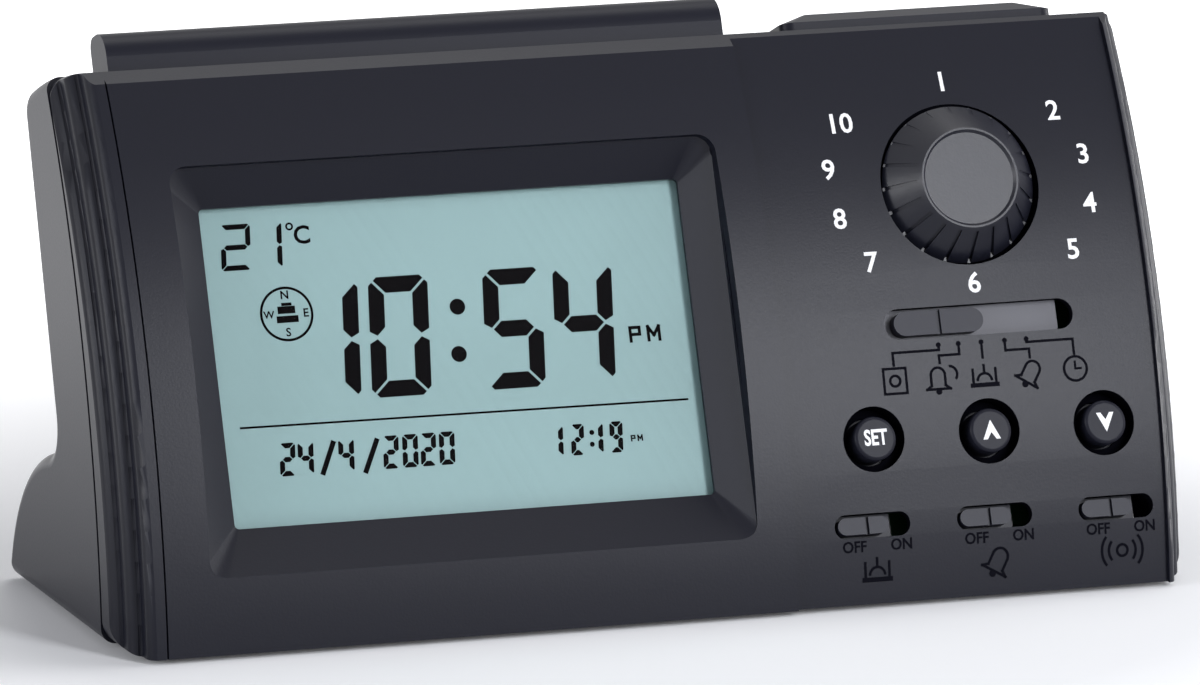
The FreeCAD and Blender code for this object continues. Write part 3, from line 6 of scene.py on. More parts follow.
import bmesh
import bpy
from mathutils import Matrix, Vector


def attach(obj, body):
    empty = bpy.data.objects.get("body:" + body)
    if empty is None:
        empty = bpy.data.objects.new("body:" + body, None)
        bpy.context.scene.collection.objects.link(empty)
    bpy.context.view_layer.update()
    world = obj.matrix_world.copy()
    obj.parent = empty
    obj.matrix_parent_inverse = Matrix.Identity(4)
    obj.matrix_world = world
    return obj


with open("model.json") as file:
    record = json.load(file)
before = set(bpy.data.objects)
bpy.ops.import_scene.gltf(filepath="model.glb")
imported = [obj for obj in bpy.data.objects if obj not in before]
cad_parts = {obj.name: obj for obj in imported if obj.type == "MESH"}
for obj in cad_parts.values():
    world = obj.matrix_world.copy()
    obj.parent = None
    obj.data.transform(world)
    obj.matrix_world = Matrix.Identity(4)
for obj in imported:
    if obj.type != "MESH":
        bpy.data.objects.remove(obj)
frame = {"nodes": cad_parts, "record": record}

bl_info = {
    "name": "Azan clock looks",
    "version": (1, 0, 0),
    "blender": (4, 5, 0),
    "location": "View3D > Sidebar > Azan clock",
    "description": "Finishes, prints and display of a leaning desk azan clock",
    "category": "Object",
}

MM = 0.001
MARK_LINE = 0.42  # width of the thin lines of the marks, in millimetres
TYPE_SIZE = 1.4  # size of the type for capitals one unit high
EMPTY_AREA = 1e-6 * MM * MM  # a face of the type smaller than this is left out


# ---- settings ------------------------------------------------------------------------

class ShapeSettings(bpy.types.PropertyGroup):
    """Where the leaning face stands, in millimetres and degrees."""
    lean: bpy.props.FloatProperty(
        name="Lean", description="Lean of the clock body in degrees", default=21.5)
    face_radius: bpy.props.FloatProperty(
        name="Face radius", description="Radius of the bowed face", default=170.0)
    face_y: bpy.props.FloatProperty(
        name="Face Y", description="Tangent point of the face, Y", default=-22.168)
    face_z: bpy.props.FloatProperty(
        name="Face Z", description="Tangent point of the face, Z", default=49.176)
    panel_deep: bpy.props.FloatProperty(
        name="Panel recess", description="Recess of the control panel", default=0.9)
    button_deep: bpy.props.FloatProperty(
        name="Button depth", description="Depth of the buttons' fronts", default=1.6)
    skin: bpy.props.FloatProperty(
        name="Print lift", description="How far prints stand off their surface", default=0.03)


class DisplaySettings(bpy.types.PropertyGroup):
    """Segments and lines of the display."""
    deep: bpy.props.FloatProperty(
        name="Depth", description="Depth of the display's front", default=10.27)
    slant: bpy.props.FloatProperty(
        name="Slant", description="Sideways lean of the digits", default=0.08)
    big_high: bpy.props.FloatProperty(
        name="Big digits", description="Height of the time's digits", default=19.3)
    big_wide: bpy.props.FloatProperty(
        name="Big digits' width", description="Width of the time's digits", default=9.9)
    big_bar: bpy.props.FloatProperty(
        name="Big bars", description="Width of the time's segments", default=2.6)
    small_high: bpy.props.FloatProperty(
        name="Small digits", description="Height of the date's digits", default=5.3)
    small_bar: bpy.props.FloatProperty(
        name="Small bars", description="Width of the date's segments", default=0.84)


class FinishSettings(bpy.types.PropertyGroup):
    """Colours and sheen of the mouldings."""
    case: bpy.props.FloatVectorProperty(
        name="Case", description="Colour of the case", subtype="COLOR", default=(0.008, 0.0085, 0.0145))
    key: bpy.props.FloatVectorProperty(
        name="Keys", description="Colour of bar, keys and knob",
        subtype="COLOR", default=(0.010, 0.0105, 0.017))
    print_white: bpy.props.FloatVectorProperty(
        name="White print", description="Colour of the white prints",
        subtype="COLOR", default=(0.86, 0.86, 0.88))
    print_dark: bpy.props.FloatVectorProperty(
        name="Dark marks", description="Colour of the sunk marks",
        subtype="COLOR", default=(0.006, 0.006, 0.009))
    lcd: bpy.props.FloatVectorProperty(
        name="Display", description="Colour of the display ground",
        subtype="COLOR", default=(0.26, 0.416, 0.414))
    rough: bpy.props.FloatProperty(
        name="Roughness", description="Roughness of the case", default=0.33)


class StageSettings(bpy.types.PropertyGroup):
    """Camera and lights."""
    azimuth: bpy.props.FloatProperty(
        name="Azimuth", description="Camera azimuth in degrees", default=-18.903)
    elevation: bpy.props.FloatProperty(
        name="Elevation", description="Camera elevation in degrees", default=11.632)
    distance: bpy.props.FloatProperty(
        name="Distance", description="Camera distance in metres", unit="LENGTH", default=1.7924)
    lens: bpy.props.FloatProperty(
        name="Lens", description="Focal length in millimetres", default=341.94)
    aim_x: bpy.props.FloatProperty(
        name="Aim X", description="Aim point, X in metres", unit="LENGTH", default=-0.01194)
    aim_y: bpy.props.FloatProperty(
        name="Aim Y", description="Aim point, Y in metres", unit="LENGTH", default=-0.033427)
    aim_z: bpy.props.FloatProperty(
        name="Aim Z", description="Aim point, Z in metres", unit="LENGTH", default=0.04665)
    world_level: bpy.props.FloatProperty(
        name="Ambient", description="Strength of the ambient light", default=0.24)
    window_power: bpy.props.FloatProperty(
        name="Window light", description="Power of the tall light in front, in watts",
        unit="POWER", default=4.8)
    top_power: bpy.props.FloatProperty(
        name="Top light", description="Power of the light above and behind, in watts",
        unit="POWER", default=3.5)
    side_power: bpy.props.FloatProperty(
        name="Side light", description="Power of the left light, in watts", unit="POWER", default=4.0)
    right_power: bpy.props.FloatProperty(
        name="Right light", description="Power of the right light, in watts", unit="POWER", default=3.6)
    left_rim_power: bpy.props.FloatProperty(
        name="Left rim light", description="Power of the low left light, in watts",
        unit="POWER", default=1.3)
    right_rim_power: bpy.props.FloatProperty(
        name="Right rim light", description="Power of the low right light, in watts",
        unit="POWER", default=2.0)
    floor_glow: bpy.props.FloatProperty(
        name="Floor", description="White added to the floor as it is seen", default=0.04)


SETTINGS = {"azan_shape": ShapeSettings, "azan_display": DisplaySettings, "azan_finish": FinishSettings,
            "azan_stage": StageSettings}


# ---- places on the leaning face ---------------------------------------------------------

def place(x, up, deep):
    """A point of the leaning frame, in metres: to the right, up the face and inwards."""
    shape = bpy.context.scene.azan_shape
    lean = math.radians(shape.lean)
    return Vector((x * MM, (shape.face_y + up * math.sin(lean) + deep * math.cos(lean)) * MM,
                   (shape.face_z + up * math.cos(lean) - deep * math.sin(lean)) * MM))


def on_panel(x, up):
    """A point just off the control panel, which bows like the face."""
    shape = bpy.context.scene.azan_shape
    bowed = shape.face_radius - math.sqrt(shape.face_radius * shape.face_radius - up * up)
    return place(x, up, bowed + shape.panel_deep - shape.skin)


def on_button(x, up):
    """A point just off the fronts of the round buttons."""
    shape = bpy.context.scene.azan_shape
    return place(x, up, shape.button_deep - shape.skin)


def on_display(x, up):
    """A point on the flat front of the display."""
    return place(x, up, bpy.context.scene.azan_display.deep)


# ---- flat drawing -----------------------------------------------------------------------

def bar(start, end, wide):
    """The four corners of a straight stroke."""
    along = Vector(end) - Vector(start)
    side = Vector((-along.y, along.x)).normalized() * wide / 2
    return [Vector(start) - side, Vector(end) - side, Vector(end) + side, Vector(start) + side]


def polyline(points, wide):
    """Strokes along a bent line, with the corners filled."""
    shapes = []
    for start, end in zip(points, points[1:]):
        along = (Vector(end) - Vector(start)).normalized() * wide / 2
        shapes.append(bar(Vector(start) - along, Vector(end) + along, wide))
    return shapes


def disc(x, y, radius, count=20):
    """The corners of a round dot."""
    turns = [2 * math.pi * i / count for i in range(count)]
    return [Vector((x + radius * math.cos(turn), y + radius * math.sin(turn))) for turn in turns]


def hoop(x, y, radius, wide, start=0.0, end=360.0, count=28):
    """Short strokes along a circle or part of one."""
    shapes = []
    step = math.radians(end - start) / count
    for i in range(count):
        a, b = math.radians(start) + i * step, math.radians(start) + (i + 1) * step
        inner, outer = radius - wide / 2, radius + wide / 2
        shapes.append([Vector((x + r * math.cos(t), y + r * math.sin(t)))
                       for r, t in ((inner, a), (outer, a), (outer, b), (inner, b))])
    return shapes


def slabs(shapes, to_place):
    """A mesh of flat shapes laid on a surface."""
    mesh = bmesh.new()
    for shape in shapes:
        verts = [mesh.verts.new(to_place(p.x, p.y)) for p in shape]
        mesh.faces.new(verts)
    bmesh.ops.recalc_face_normals(mesh, faces=mesh.faces)
    return mesh


def piece(name, mesh, body, chosen):
    """A finished object at the origin, in the chosen finish, that rides on a CAD body."""
    data = bpy.data.meshes.new(name)
    mesh.to_mesh(data)
    mesh.free()
    made = bpy.data.objects.new(name, data)
    bpy.context.scene.collection.objects.link(made)
    data.materials.append(chosen)
    for face in data.polygons:
        face.use_smooth = False
    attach(made, body)
    return made


def lettering(words, x, up, high, to_place, squeeze=1.0, bold=0.0):
    """A bmesh of words laid on a surface, centred on a point, narrowed by squeeze and thickened by bold."""
    curve = bpy.data.curves.new("words", "FONT")
    curve.body = words
    curve.align_x = "CENTER"
    curve.align_y = "CENTER"
    curve.size = high * TYPE_SIZE
    curve.resolution_u = 3
    curve.offset = bold * high
    made = bpy.data.objects.new("words", curve)
    bpy.context.scene.collection.objects.link(made)
    bpy.context.view_layer.update()
    data = bpy.data.meshes.new_from_object(made)
    mesh = bmesh.new()
    mesh.from_mesh(data)
    for vert in mesh.verts:
        vert.co = to_place(x + vert.co.x * squeeze, up + vert.co.y)
    empty = [face for face in mesh.faces if face.calc_area() < EMPTY_AREA]
    bmesh.ops.delete(mesh, geom=empty, context="FACES")
    bpy.data.objects.remove(made)
    bpy.data.curves.remove(curve)
    bpy.data.meshes.remove(data)
    return mesh


def join(first, second):
    """Add the second bmesh to the first."""
    data = bpy.data.meshes.new("part")
    second.to_mesh(data)
    second.free()
    first.from_mesh(data)
    bpy.data.meshes.remove(data)
    return first


# ---- shaders ----------------------------------------------------------------------------

FINE_GRAIN, MOULD_GRAIN = 3000.0, 2600.0  # scale of the grain
GRAIN_DEPTH = 0.1 * MM
# the wells and slots of the control panel, where the case's shade is painted: from left to right, up the
# face, and inwards of the panel
SUNK_X, SUNK_UP, SUNK_DEEP = (28, 84), (-42, 33), (0.3, 7)
# the first colour is painted shade, put in the wells and slots in place of their shade; the second is the
# segments' own colour
WELL_SHADE_COLOR, SEGMENT_COLOR = (0.003, 0.003, 0.005, 1), (0.004, 0.0035, 0.004)


class Wire:
    """A shader value that can be added, multiplied and compared."""

    def __init__(self, tree, socket):
        self.tree = tree
        self.socket = socket

    @staticmethod
    def made(tree, kind, inputs=(), out=0, **settings):
        """Make one node, set its inputs and hand back an output."""
        node = tree.nodes.new(kind)
        for key, setting in settings.items():
            setattr(node, key, setting)
        for key, given in dict(inputs).items():
            if isinstance(given, Wire):
                tree.links.new(given.socket, node.inputs[key])
            else:
                node.inputs[key].default_value = given
        return Wire(tree, node.outputs[out])

    def _math(self, operation, first, second):
        return Wire.made(self.tree, "ShaderNodeMath", {0: first, 1: second}, operation=operation)

    def __add__(self, other):
        return self._math("ADD", self, other)

    def __radd__(self, other):
        return self._math("ADD", other, self)

    def __sub__(self, other):
        return self._math("SUBTRACT", self, other)

    def __rsub__(self, other):
        return self._math("SUBTRACT", other, self)

    def __mul__(self, other):
        return self._math("MULTIPLY", self, other)

    def __rmul__(self, other):
        return self._math("MULTIPLY", other, self)

    def __truediv__(self, other):
        return self._math("DIVIDE", self, other)

    def __rtruediv__(self, other):
        return self._math("DIVIDE", other, self)

    def __gt__(self, other):
        return self._math("GREATER_THAN", self, other)

    def __lt__(self, other):
        return self._math("LESS_THAN", self, other)

    def within(self, low, high):
        """One between two limits in millimetres, nought outside them."""
        return (self > low * MM) * (self < high * MM)


def material(name, color, rough=0.5, metal=0.0, coat=0.0, bump=0.0, grain=FINE_GRAIN, alpha=1.0,
             mottle=0.0, gloss=0.5):
    """A moulded, metal or printed finish, with a bumpy grain or a mottled sheen if asked for."""
    made = bpy.data.materials.new(name)
    made.use_nodes = True
    tree = made.node_tree
    shader = tree.nodes["Principled BSDF"]
    shader.inputs["Base Color"].default_value = (*color, 1)
    shader.inputs["Roughness"].default_value = rough
    shader.inputs["Metallic"].default_value = metal
    shader.inputs["Coat Weight"].default_value = coat
    shader.inputs["Alpha"].default_value = alpha
    shader.inputs["Specular IOR Level"].default_value = gloss
    if bump or mottle:
        where = Wire.made(tree, "ShaderNodeTexCoord", out="Object")
        noise = Wire.made(tree, "ShaderNodeTexNoise", {"Vector": where, "Scale": grain, "Detail": 2.0})
        if bump:
            bumpy = {"Strength": bump, "Distance": GRAIN_DEPTH, "Height": noise}
            normal = Wire.made(tree, "ShaderNodeBump", bumpy)
            tree.links.new(normal.socket, shader.inputs["Normal"])
        if mottle:
            level = rough + (noise - 0.5) * mottle
            tree.links.new(level.socket, shader.inputs["Roughness"])
    return made


def case_finish(look):
    """The plastic of the case, with painted shade: a dark, dull plastic put inside the wells and slots of
    the control panel.
    """
    made = material("case", tuple(look.case), look.rough, bump=0.12, grain=MOULD_GRAIN, mottle=0.08,
                    gloss=0.175)
    tree = made.node_tree
    shape = bpy.context.scene.azan_shape
    lean = math.radians(shape.lean)
    where = Wire.made(tree, "ShaderNodeTexCoord", out="Object")
    x, y, z = [Wire.made(tree, "ShaderNodeSeparateXYZ", {0: where}, out=axis) for axis in range(3)]
    y, z = y - shape.face_y * MM, z - shape.face_z * MM
    up = y * math.sin(lean) + z * math.cos(lean)
    deep = y * math.cos(lean) - z * math.sin(lean)
    # behind the control panel, whose bow is taken for a parabola
    sunk = deep - up * up / (2 * shape.face_radius * MM) - shape.panel_deep * MM
    # painted shade: a dark, dull shader mixed in inside the wells and slots, where shade falls
    shade_mask = x.within(*SUNK_X) * up.within(*SUNK_UP) * sunk.within(*SUNK_DEEP)
    painted_shade = Wire.made(tree, "ShaderNodeBsdfPrincipled",
                     {"Base Color": WELL_SHADE_COLOR, "Roughness": 0.8, "Specular IOR Level": 0.0})
    shader = Wire(tree, tree.nodes["Principled BSDF"].outputs[0])
    both = Wire.made(tree, "ShaderNodeMixShader", {0: shade_mask, 1: shader, 2: painted_shade})
    tree.links.new(both.socket, tree.nodes["Material Output"].inputs["Surface"])
    return made


def finishes():
    """Every finish by the record's slot name."""
    look = bpy.context.scene.azan_finish
    key = tuple(look.key)
    return {
        "case": case_finish(look),
        "key": material("key", key, 0.36, bump=0.1, grain=MOULD_GRAIN, gloss=0.12),
        "knob": material("knob", key, 0.34, bump=0.1, grain=MOULD_GRAIN, mottle=0.06, gloss=0.34),
        "slider": material("slider", (0.01, 0.0105, 0.018), 0.42, bump=0.06, grain=MOULD_GRAIN, gloss=0.24),
        "shutter": material("shutter", (0.11, 0.11, 0.125), 0.45, bump=0.06, grain=MOULD_GRAIN, gloss=0.3),
        "clear": material("clear", (0.0, 0.0, 0.0), 0.12, alpha=0.03, gloss=0.1),
        "lcd": material("lcd", tuple(look.lcd), 0.5),
        "guide": material("guide", (0.85, 0.88, 0.9), 0.4),
        "white": material("white", (0.8, 0.8, 0.78), 0.5),
        "black": material("black", (0.015, 0.015, 0.018), 0.45),
        "board": material("board", (0.02, 0.1, 0.04), 0.4, coat=0.3),
        "chip": material("chip", (0.012, 0.012, 0.013), 0.45),
        "strip": material("strip", (0.3, 0.3, 0.34), 0.6),
        "steel": material("steel", (0.6, 0.6, 0.62), 0.35, metal=1.0),
        "magnet": material("magnet", (0.08, 0.08, 0.09), 0.4, metal=1.0),
        "paper": material("paper", (0.03, 0.03, 0.03), 0.9, bump=0.4),
        "cell": material("cell", (0.02, 0.05, 0.12), 0.3, coat=0.6),
        "nickel": material("nickel", (0.72, 0.7, 0.66), 0.25, metal=1.0),
        "rubber": material("rubber", (0.02, 0.02, 0.022), 0.8),
    }


def finish(name):
    """The finish of a print or of the segments, made when it is first asked for."""
    found = bpy.data.materials.get(name)
    if found:
        return found
    look = bpy.context.scene.azan_finish
    if name == "print_white":
        return material(name, tuple(look.print_white), 0.5)
    if name == "print_dark":
        return material(name, tuple(look.print_dark), 0.7, gloss=0.0)
    if name == "segment":
        return material(name, SEGMENT_COLOR, 0.8, gloss=0.0)
    raise RuntimeError("no finish called %s" % name)


# ---- display ----------------------------------------------------------------------------

SEGMENTS = {"0": "abcdef", "1": "bc", "2": "abged", "3": "abgcd", "4": "fgbc", "5": "afgcd", "6": "afgedc",
            "7": "abc", "8": "abcdefg", "9": "abcdfg"}


def segment_corners(letter, wide, high, line, gap):
    """Corners of one mitred segment in a box whose lower left corner is the origin."""
    half, end, cut = high / 2, 0.7 * gap, 0.42 * line
    if letter in "ad":
        near, far = end + cut / 2, line + end
        corners = [(end + cut, high), (wide - end - cut, high), (wide - near, high - cut / 2),
                   (wide - far, high - line), (far, high - line), (near, high - cut / 2)]
    elif letter == "g":
        near, far = line / 2 + end, line + end
        corners = [(near, half), (far, half + line / 2), (wide - far, half + line / 2), (wide - near, half),
                   (wide - far, half - line / 2), (far, half - line / 2)]
    else:
        corners = [(cut / 2, high - end - cut / 2), (line, high - line - end),
                   (line, half + line / 2 + end), (line / 2, half + end),
                   (0, half + 0.3 * line + gap / 2), (0, high - end - cut)]
    if letter in "bc":
        corners = [(wide - x, y) for x, y in corners]
    if letter in "cde":
        corners = [(x, high - y) for x, y in corners]
    return corners


def segment_digit(mark, left, low, wide, high, line, slant):
    """The lit segments of a seven-segment digit; left is measured level with the middle of the display."""
    gap = 0.15 * line
    shapes = []
    for letter in SEGMENTS[mark]:
        corners = segment_corners(letter, wide, high, line, gap)
        shapes.append([Vector((left + x + slant * (low + y), low + y)) for x, y in corners])
    return shapes


LETTER_LINES = {"P": ((0, 0), (0, 1), (0.85, 1), (0.85, 0.48), (0, 0.48)),
                "M": ((0, 0), (0, 1), (0.5, 0.35), (1, 1), (1, 0))}

# Rows of the display, in millimetres across and up the face: each digit with the X of its left edge, and
# the height of the row's lower line. Dots, strokes and letters have their own places.
TIME_ROW, FIRST_DIGIT_RIGHT = (("0", -43.25), ("5", -24.2), ("4", -12.45)), -45.0
TIME_DOTS, TIME_DOT = ((-28.2, 4.06), (-28.86, -3.54)), 1.3
DEGREES_ROW, DEGREES_LOW, DEGREES_SIZE = (("2", -66.3), ("1", -61.1)), 12.2, (4.9, 7.4)
DEGREE_SIGN, DEGREE_LINE = (-54.4, 18.7, 0.5), 0.32
DATE_ROW = (("2", -60.6), ("4", -57.6), ("4", -50.9), ("2", -43.5), ("0", -40.3), ("2", -37.3),
            ("0", -34.2))
DATE_LOW, DATE_WIDE = -21.1, 2.6
DATE_STROKES = (((-53.65, -21.3), (-51.2, -16.0)), ((-46.6, -21.5), (-44.0, -16.1)))
CLOCK_ROW, CLOCK_WIDE, CLOCK_LESS = (("1", -15.7), ("2", -12.2), ("1", -9.0), ("9", -5.7)), 2.2, 0.3
CLOCK_DOTS, CLOCK_DOT = ((-8.4, -17.6), (-8.55, -19.5)), 0.42
RULE, RULE_WIDE = ((-66.3, -12.95), (8.4, -13.35)), 0.34
COMPASS = (-56.47, 4.74, 4.2)
# a small box on a slab in the middle of the compass: the start, the end and the width of each stroke
COMPASS_STROKES = (((-58.2, 3.9), (-54.6, 3.9), 1.1), ((-57.9, 5.4), (-55.0, 5.4), 1.2),
                   ((-57.2, 6.3), (-55.5, 6.3), 0.5))
# the afternoon marks and the letters: the middle and the height, and for the marks the width of the lines
AFTERNOONS = ((2.45, -2.3, 2.15, 0.52), (-1.0, -19.0, 0.8, 0.24))
DISPLAY_LETTERS = (("C", -52.5, 17.1, 2.9), ("N", -56.5, 7.75, 1.35), ("S", -56.5, 1.75, 1.35),
                   ("W", -59.4, 4.7, 1.2), ("E", -53.3, 4.7, 1.35))


def afternoon(x, up, high, line):
    """The two letters of the afternoon mark, centred on a point."""
    wide, step = 0.85 * high, 1.4 * high
    shapes = []
    for letter, left in (("P", x - (step + wide) / 2), ("M", x + (step - wide) / 2)):
        points = [(left + a * wide, up + (b - 0.5) * high) for a, b in LETTER_LINES[letter]]
        shapes += polyline(points, line)
    return shapes


def row_of_digits(places, low, wide, high, line, slant):
    """Digits given with their left edges on the row's lower line."""
    shapes = []
    for mark, left in places:
        shapes += segment_digit(mark, left - slant * low, low, wide, high, line, slant)
    return shapes


class AZAN_OT_display(bpy.types.Operator):
    """Draw the segments, lines and marks of the display"""
    bl_idname = "azan.display"
    bl_label = "Draw display"

    def execute(self, context):
        look = context.scene.azan_display
        slant, high, wide, line = look.slant, look.big_high, look.big_wide, look.big_bar
        shapes = []
        for mark, left in (("1", FIRST_DIGIT_RIGHT - wide), *TIME_ROW):
            shapes += segment_digit(mark, left, -high / 2, wide, high, line, slant)
        shapes += [disc(x, up, TIME_DOT, 18) for x, up in TIME_DOTS]
        piece("time_digits", slabs(shapes, on_display), "case", finish("segment"))
        line, high = look.small_bar, look.small_high
        shapes = row_of_digits(DEGREES_ROW, DEGREES_LOW, *DEGREES_SIZE, line, slant)
        shapes += row_of_digits(DATE_ROW, DATE_LOW, DATE_WIDE, high, line, slant)
        shapes += [bar(start, end, line) for start, end in DATE_STROKES]
        shapes += row_of_digits(CLOCK_ROW, DATE_LOW, CLOCK_WIDE, high - CLOCK_LESS, line, slant)
        shapes += [disc(x, up, CLOCK_DOT, 12) for x, up in CLOCK_DOTS]
        piece("date_digits", slabs(shapes, on_display), "case", finish("segment"))
        shapes = [bar(*RULE, RULE_WIDE)]
        shapes += hoop(*COMPASS, MARK_LINE, count=48)
        shapes += [bar(*stroke) for stroke in COMPASS_STROKES]
        shapes += hoop(*DEGREE_SIGN, DEGREE_LINE, count=14)
        for mark in AFTERNOONS:
            shapes += afternoon(*mark)
        mesh = slabs(shapes, on_display)
        for letter, x, up, size in DISPLAY_LETTERS:
            join(mesh, lettering(letter, x, up, size, on_display, bold=0.03))
        piece("display_marks", mesh, "case", finish("segment"))
        return {"FINISHED"}


# ---- prints on the control panel and the buttons -----------------------------------------

NUMBER_HIGH, SWITCH_WORD_HIGH = 3.3, 1.75
NUMBERS = [("1", 55.6, 34.2), ("2", 73.6, 28.2), ("3", 77.4, 20.6), ("4", 77.2, 12.4), ("5", 73.2, 5.0),
           ("6", 55.6, 0.6), ("7", 38.6, 5.0), ("8", 34.4, 12.4), ("9", 33.8, 20.6), ("10", 37.0, 28.2)]

# the line to each mode's pictogram: its X, the X of its tap under the slot, the heights of bend and end
MODE_LINES = ((40.4, 48.3, -9.71, -11.7), (48.2, 51.7, -10.61, -11.8), (55.6, 55.6, None, -11.4),
              (63.6, 59.6, -10.51, -11.9), (71.2, 63.3, -9.41, -11.8))
TAP_ROW, TAP_DOT, MODE_ROW = -8.9, 0.42, -14.2
# the words beside the small sliders and the marks below them
SWITCH_WORDS = (("OFF", 31.6), ("ON", 39.6), ("OFF", 52.4), ("ON", 60.4), ("OFF", 73.2), ("ON", 81.2))
SWITCH_WORD_ROW, SWITCH_MARK_ROW = -39.9, -43.4
SWITCH_MARKS = (35.3, 56.0, 77.2)
BUTTON_ROW, SET_X, UP_X, DOWN_X = -23.13, 35.95, 55.6, 75.25
SET_HIGH, SET_SQUEEZE = 2.5, 0.72
# the arrowheads: half of the width, which is also the distance of the foot from the row, and the distances
# of the tip and the notch
ARROW_HALF, ARROW_TIP, ARROW_NOTCH = 1.5, 1.65, 0.35


def bell(x, y, size):
    """Outline of a small bell with a round crown, a flared mouth and a clapper."""
    half, mouth = 0.3 * size, 0.5 * size
    crown, foot, rim = y + 0.12 * size, y - 0.3 * size, y - 0.3 * size - 0.14 * size
    shapes = hoop(x, crown, half, MARK_LINE, 0, 180, 12)
    shapes += polyline([(x - half, crown), (x - half, foot), (x - mouth, rim),
                        (x + mouth, rim), (x + half, foot), (x + half, crown)], MARK_LINE)
    return shapes + [disc(x, foot - 0.24 * size, 0.13 * size, 12)]


def tilted_bell(x, y, size, angle):
    """The bell turned about its middle."""
    cos, sin = math.cos(angle), math.sin(angle)
    return [[Vector((x + (p.x - x) * cos - (p.y - y) * sin, y + (p.x - x) * sin + (p.y - y) * cos))
             for p in shape] for shape in bell(x, y, size)]


def ringing_bell(x, y):
    """The bell with a wave beside its crown."""
    return bell(x - 0.5, y, 4.0) + hoop(x + 1.5, y + 0.5, 1.3, MARK_LINE, -40, 90, 10)


def dome(x, y, size):
    """Outline of a small dome on a slab between two slim towers, as a plain pictogram."""
    base = y - 0.36 * size
    shapes = hoop(x, base + 0.14 * size, 0.28 * size, MARK_LINE, 0, 180, 12)
    shapes += [bar((x - 0.56 * size, base), (x + 0.56 * size, base), 0.16 * size)]
    shapes += [bar((x, y + 0.08 * size), (x, y + 0.4 * size), MARK_LINE)]
    for side in (-0.44, 0.44):
        shapes += [bar((x + side * size, base), (x + side * size, y + 0.26 * size), MARK_LINE)]
    return shapes


def boxed_ring(x, y):
    """A ring in an upright frame."""
    a, b = 3.8 / 2, 4.0 / 2
    frame_line = [(x - a, y - b), (x + a, y - b), (x + a, y + b), (x - a, y + b), (x - a, y - b)]
    return polyline(frame_line, MARK_LINE) + hoop(x, y, 0.85, MARK_LINE)


def clock_face(x, y):
    """A round clock face with its two hands."""
    hand, tail = 0.36, 0.15
    hands = [bar((x, y - tail), (x, y + 1.25), hand), bar((x - tail, y), (x + 1.1, y), hand)]
    return hoop(x, y, 1.95, MARK_LINE) + hands


def waves(x, y):
    """A ring with two waves on each side."""
    shapes = hoop(x, y, 0.9, MARK_LINE)
    for turn, radius in ((0, 2.3), (180, 2.3), (0, 3.5), (180, 3.5)):
        shapes += hoop(x, y, radius, MARK_LINE, turn - 40, turn + 40, 10)
    return shapes


def arrowhead(x, y, sign):
    """The two halves of a notched arrowhead that points up for 1 and down for -1."""
    tip, foot, notch = y + sign * ARROW_TIP, y - sign * ARROW_HALF, y - sign * ARROW_NOTCH
    return [[Vector((x, tip)), Vector((x + side * ARROW_HALF, foot)),
             Vector((x + side * ARROW_HALF / 2, foot)), Vector((x, notch))] for side in (-1, 1)]


class AZAN_OT_prints(bpy.types.Operator):
    """Lay the white and the dark marks on the control panel"""
    bl_idname = "azan.prints"
    bl_label = "Lay prints"

    def execute(self, context):
        mesh = bmesh.new()
        for words, x, up in NUMBERS:
            join(mesh, lettering(words, x, up, NUMBER_HIGH, on_panel, bold=0.025))
        piece("dial_numbers", mesh, "case", finish("print_white"))
        shapes = []
        for stop, tap, bend, end in MODE_LINES:
            between = [(tap, bend), (stop, bend)] if bend else []
            shapes += polyline([(tap, TAP_ROW), *between, (stop, end)], MARK_LINE)
            shapes.append(disc(tap, TAP_ROW, TAP_DOT, 12))
        ring, ringing, prayer, alarm, clock = [stop for stop, *others in MODE_LINES]
        shapes += boxed_ring(ring, MODE_ROW) + ringing_bell(ringing, MODE_ROW)
        shapes += dome(prayer, MODE_ROW, 4.4) + tilted_bell(alarm, MODE_ROW, 4.2, -0.55)
        shapes += clock_face(clock, MODE_ROW)
        prayer, alarm, snooze = SWITCH_MARKS
        shapes += dome(prayer, SWITCH_MARK_ROW, 4.6) + tilted_bell(alarm, SWITCH_MARK_ROW, 4.4, -0.5)
        shapes += waves(snooze, SWITCH_MARK_ROW)
        mesh = slabs(shapes, on_panel)
        for word, x in SWITCH_WORDS:
            join(mesh, lettering(word, x, SWITCH_WORD_ROW, SWITCH_WORD_HIGH, on_panel, 0.95, bold=0.03))
        piece("panel_marks", mesh, "case", finish("print_dark"))
        return {"FINISHED"}


class AZAN_OT_button_marks(bpy.types.Operator):
    """Print the marks on the round buttons"""
    bl_idname = "azan.button_marks"
    bl_label = "Print button marks"

    def execute(self, context):
        mesh = lettering("SET", SET_X, BUTTON_ROW, SET_HIGH, on_button, SET_SQUEEZE, bold=0.04)
        piece("set_mark", mesh, "set_button", finish("print_white"))
        for name, x, sign in (("up", UP_X, 1), ("down", DOWN_X, -1)):
            mesh = slabs(arrowhead(x, BUTTON_ROW, sign), on_button)
            piece(name + "_mark", mesh, name + "_button", finish("print_white"))
        return {"FINISHED"}


# ---- finishes of the CAD nodes ----------------------------------------------------------

class AZAN_OT_finishes(bpy.types.Operator):
    """Give every CAD node its finish"""
    bl_idname = "azan.finishes"
    bl_label = "Apply finishes"

    def execute(self, context):
        made = finishes()
        slots = {row["node"]: row["material_slot"] for row in frame["record"]["subparts"]}
        for name, node in frame["nodes"].items():
            chosen = made[slots[name]]
            node.data.materials.clear()
            node.data.materials.append(chosen)
        return {"FINISHED"}


# ---- stage ------------------------------------------------------------------------------

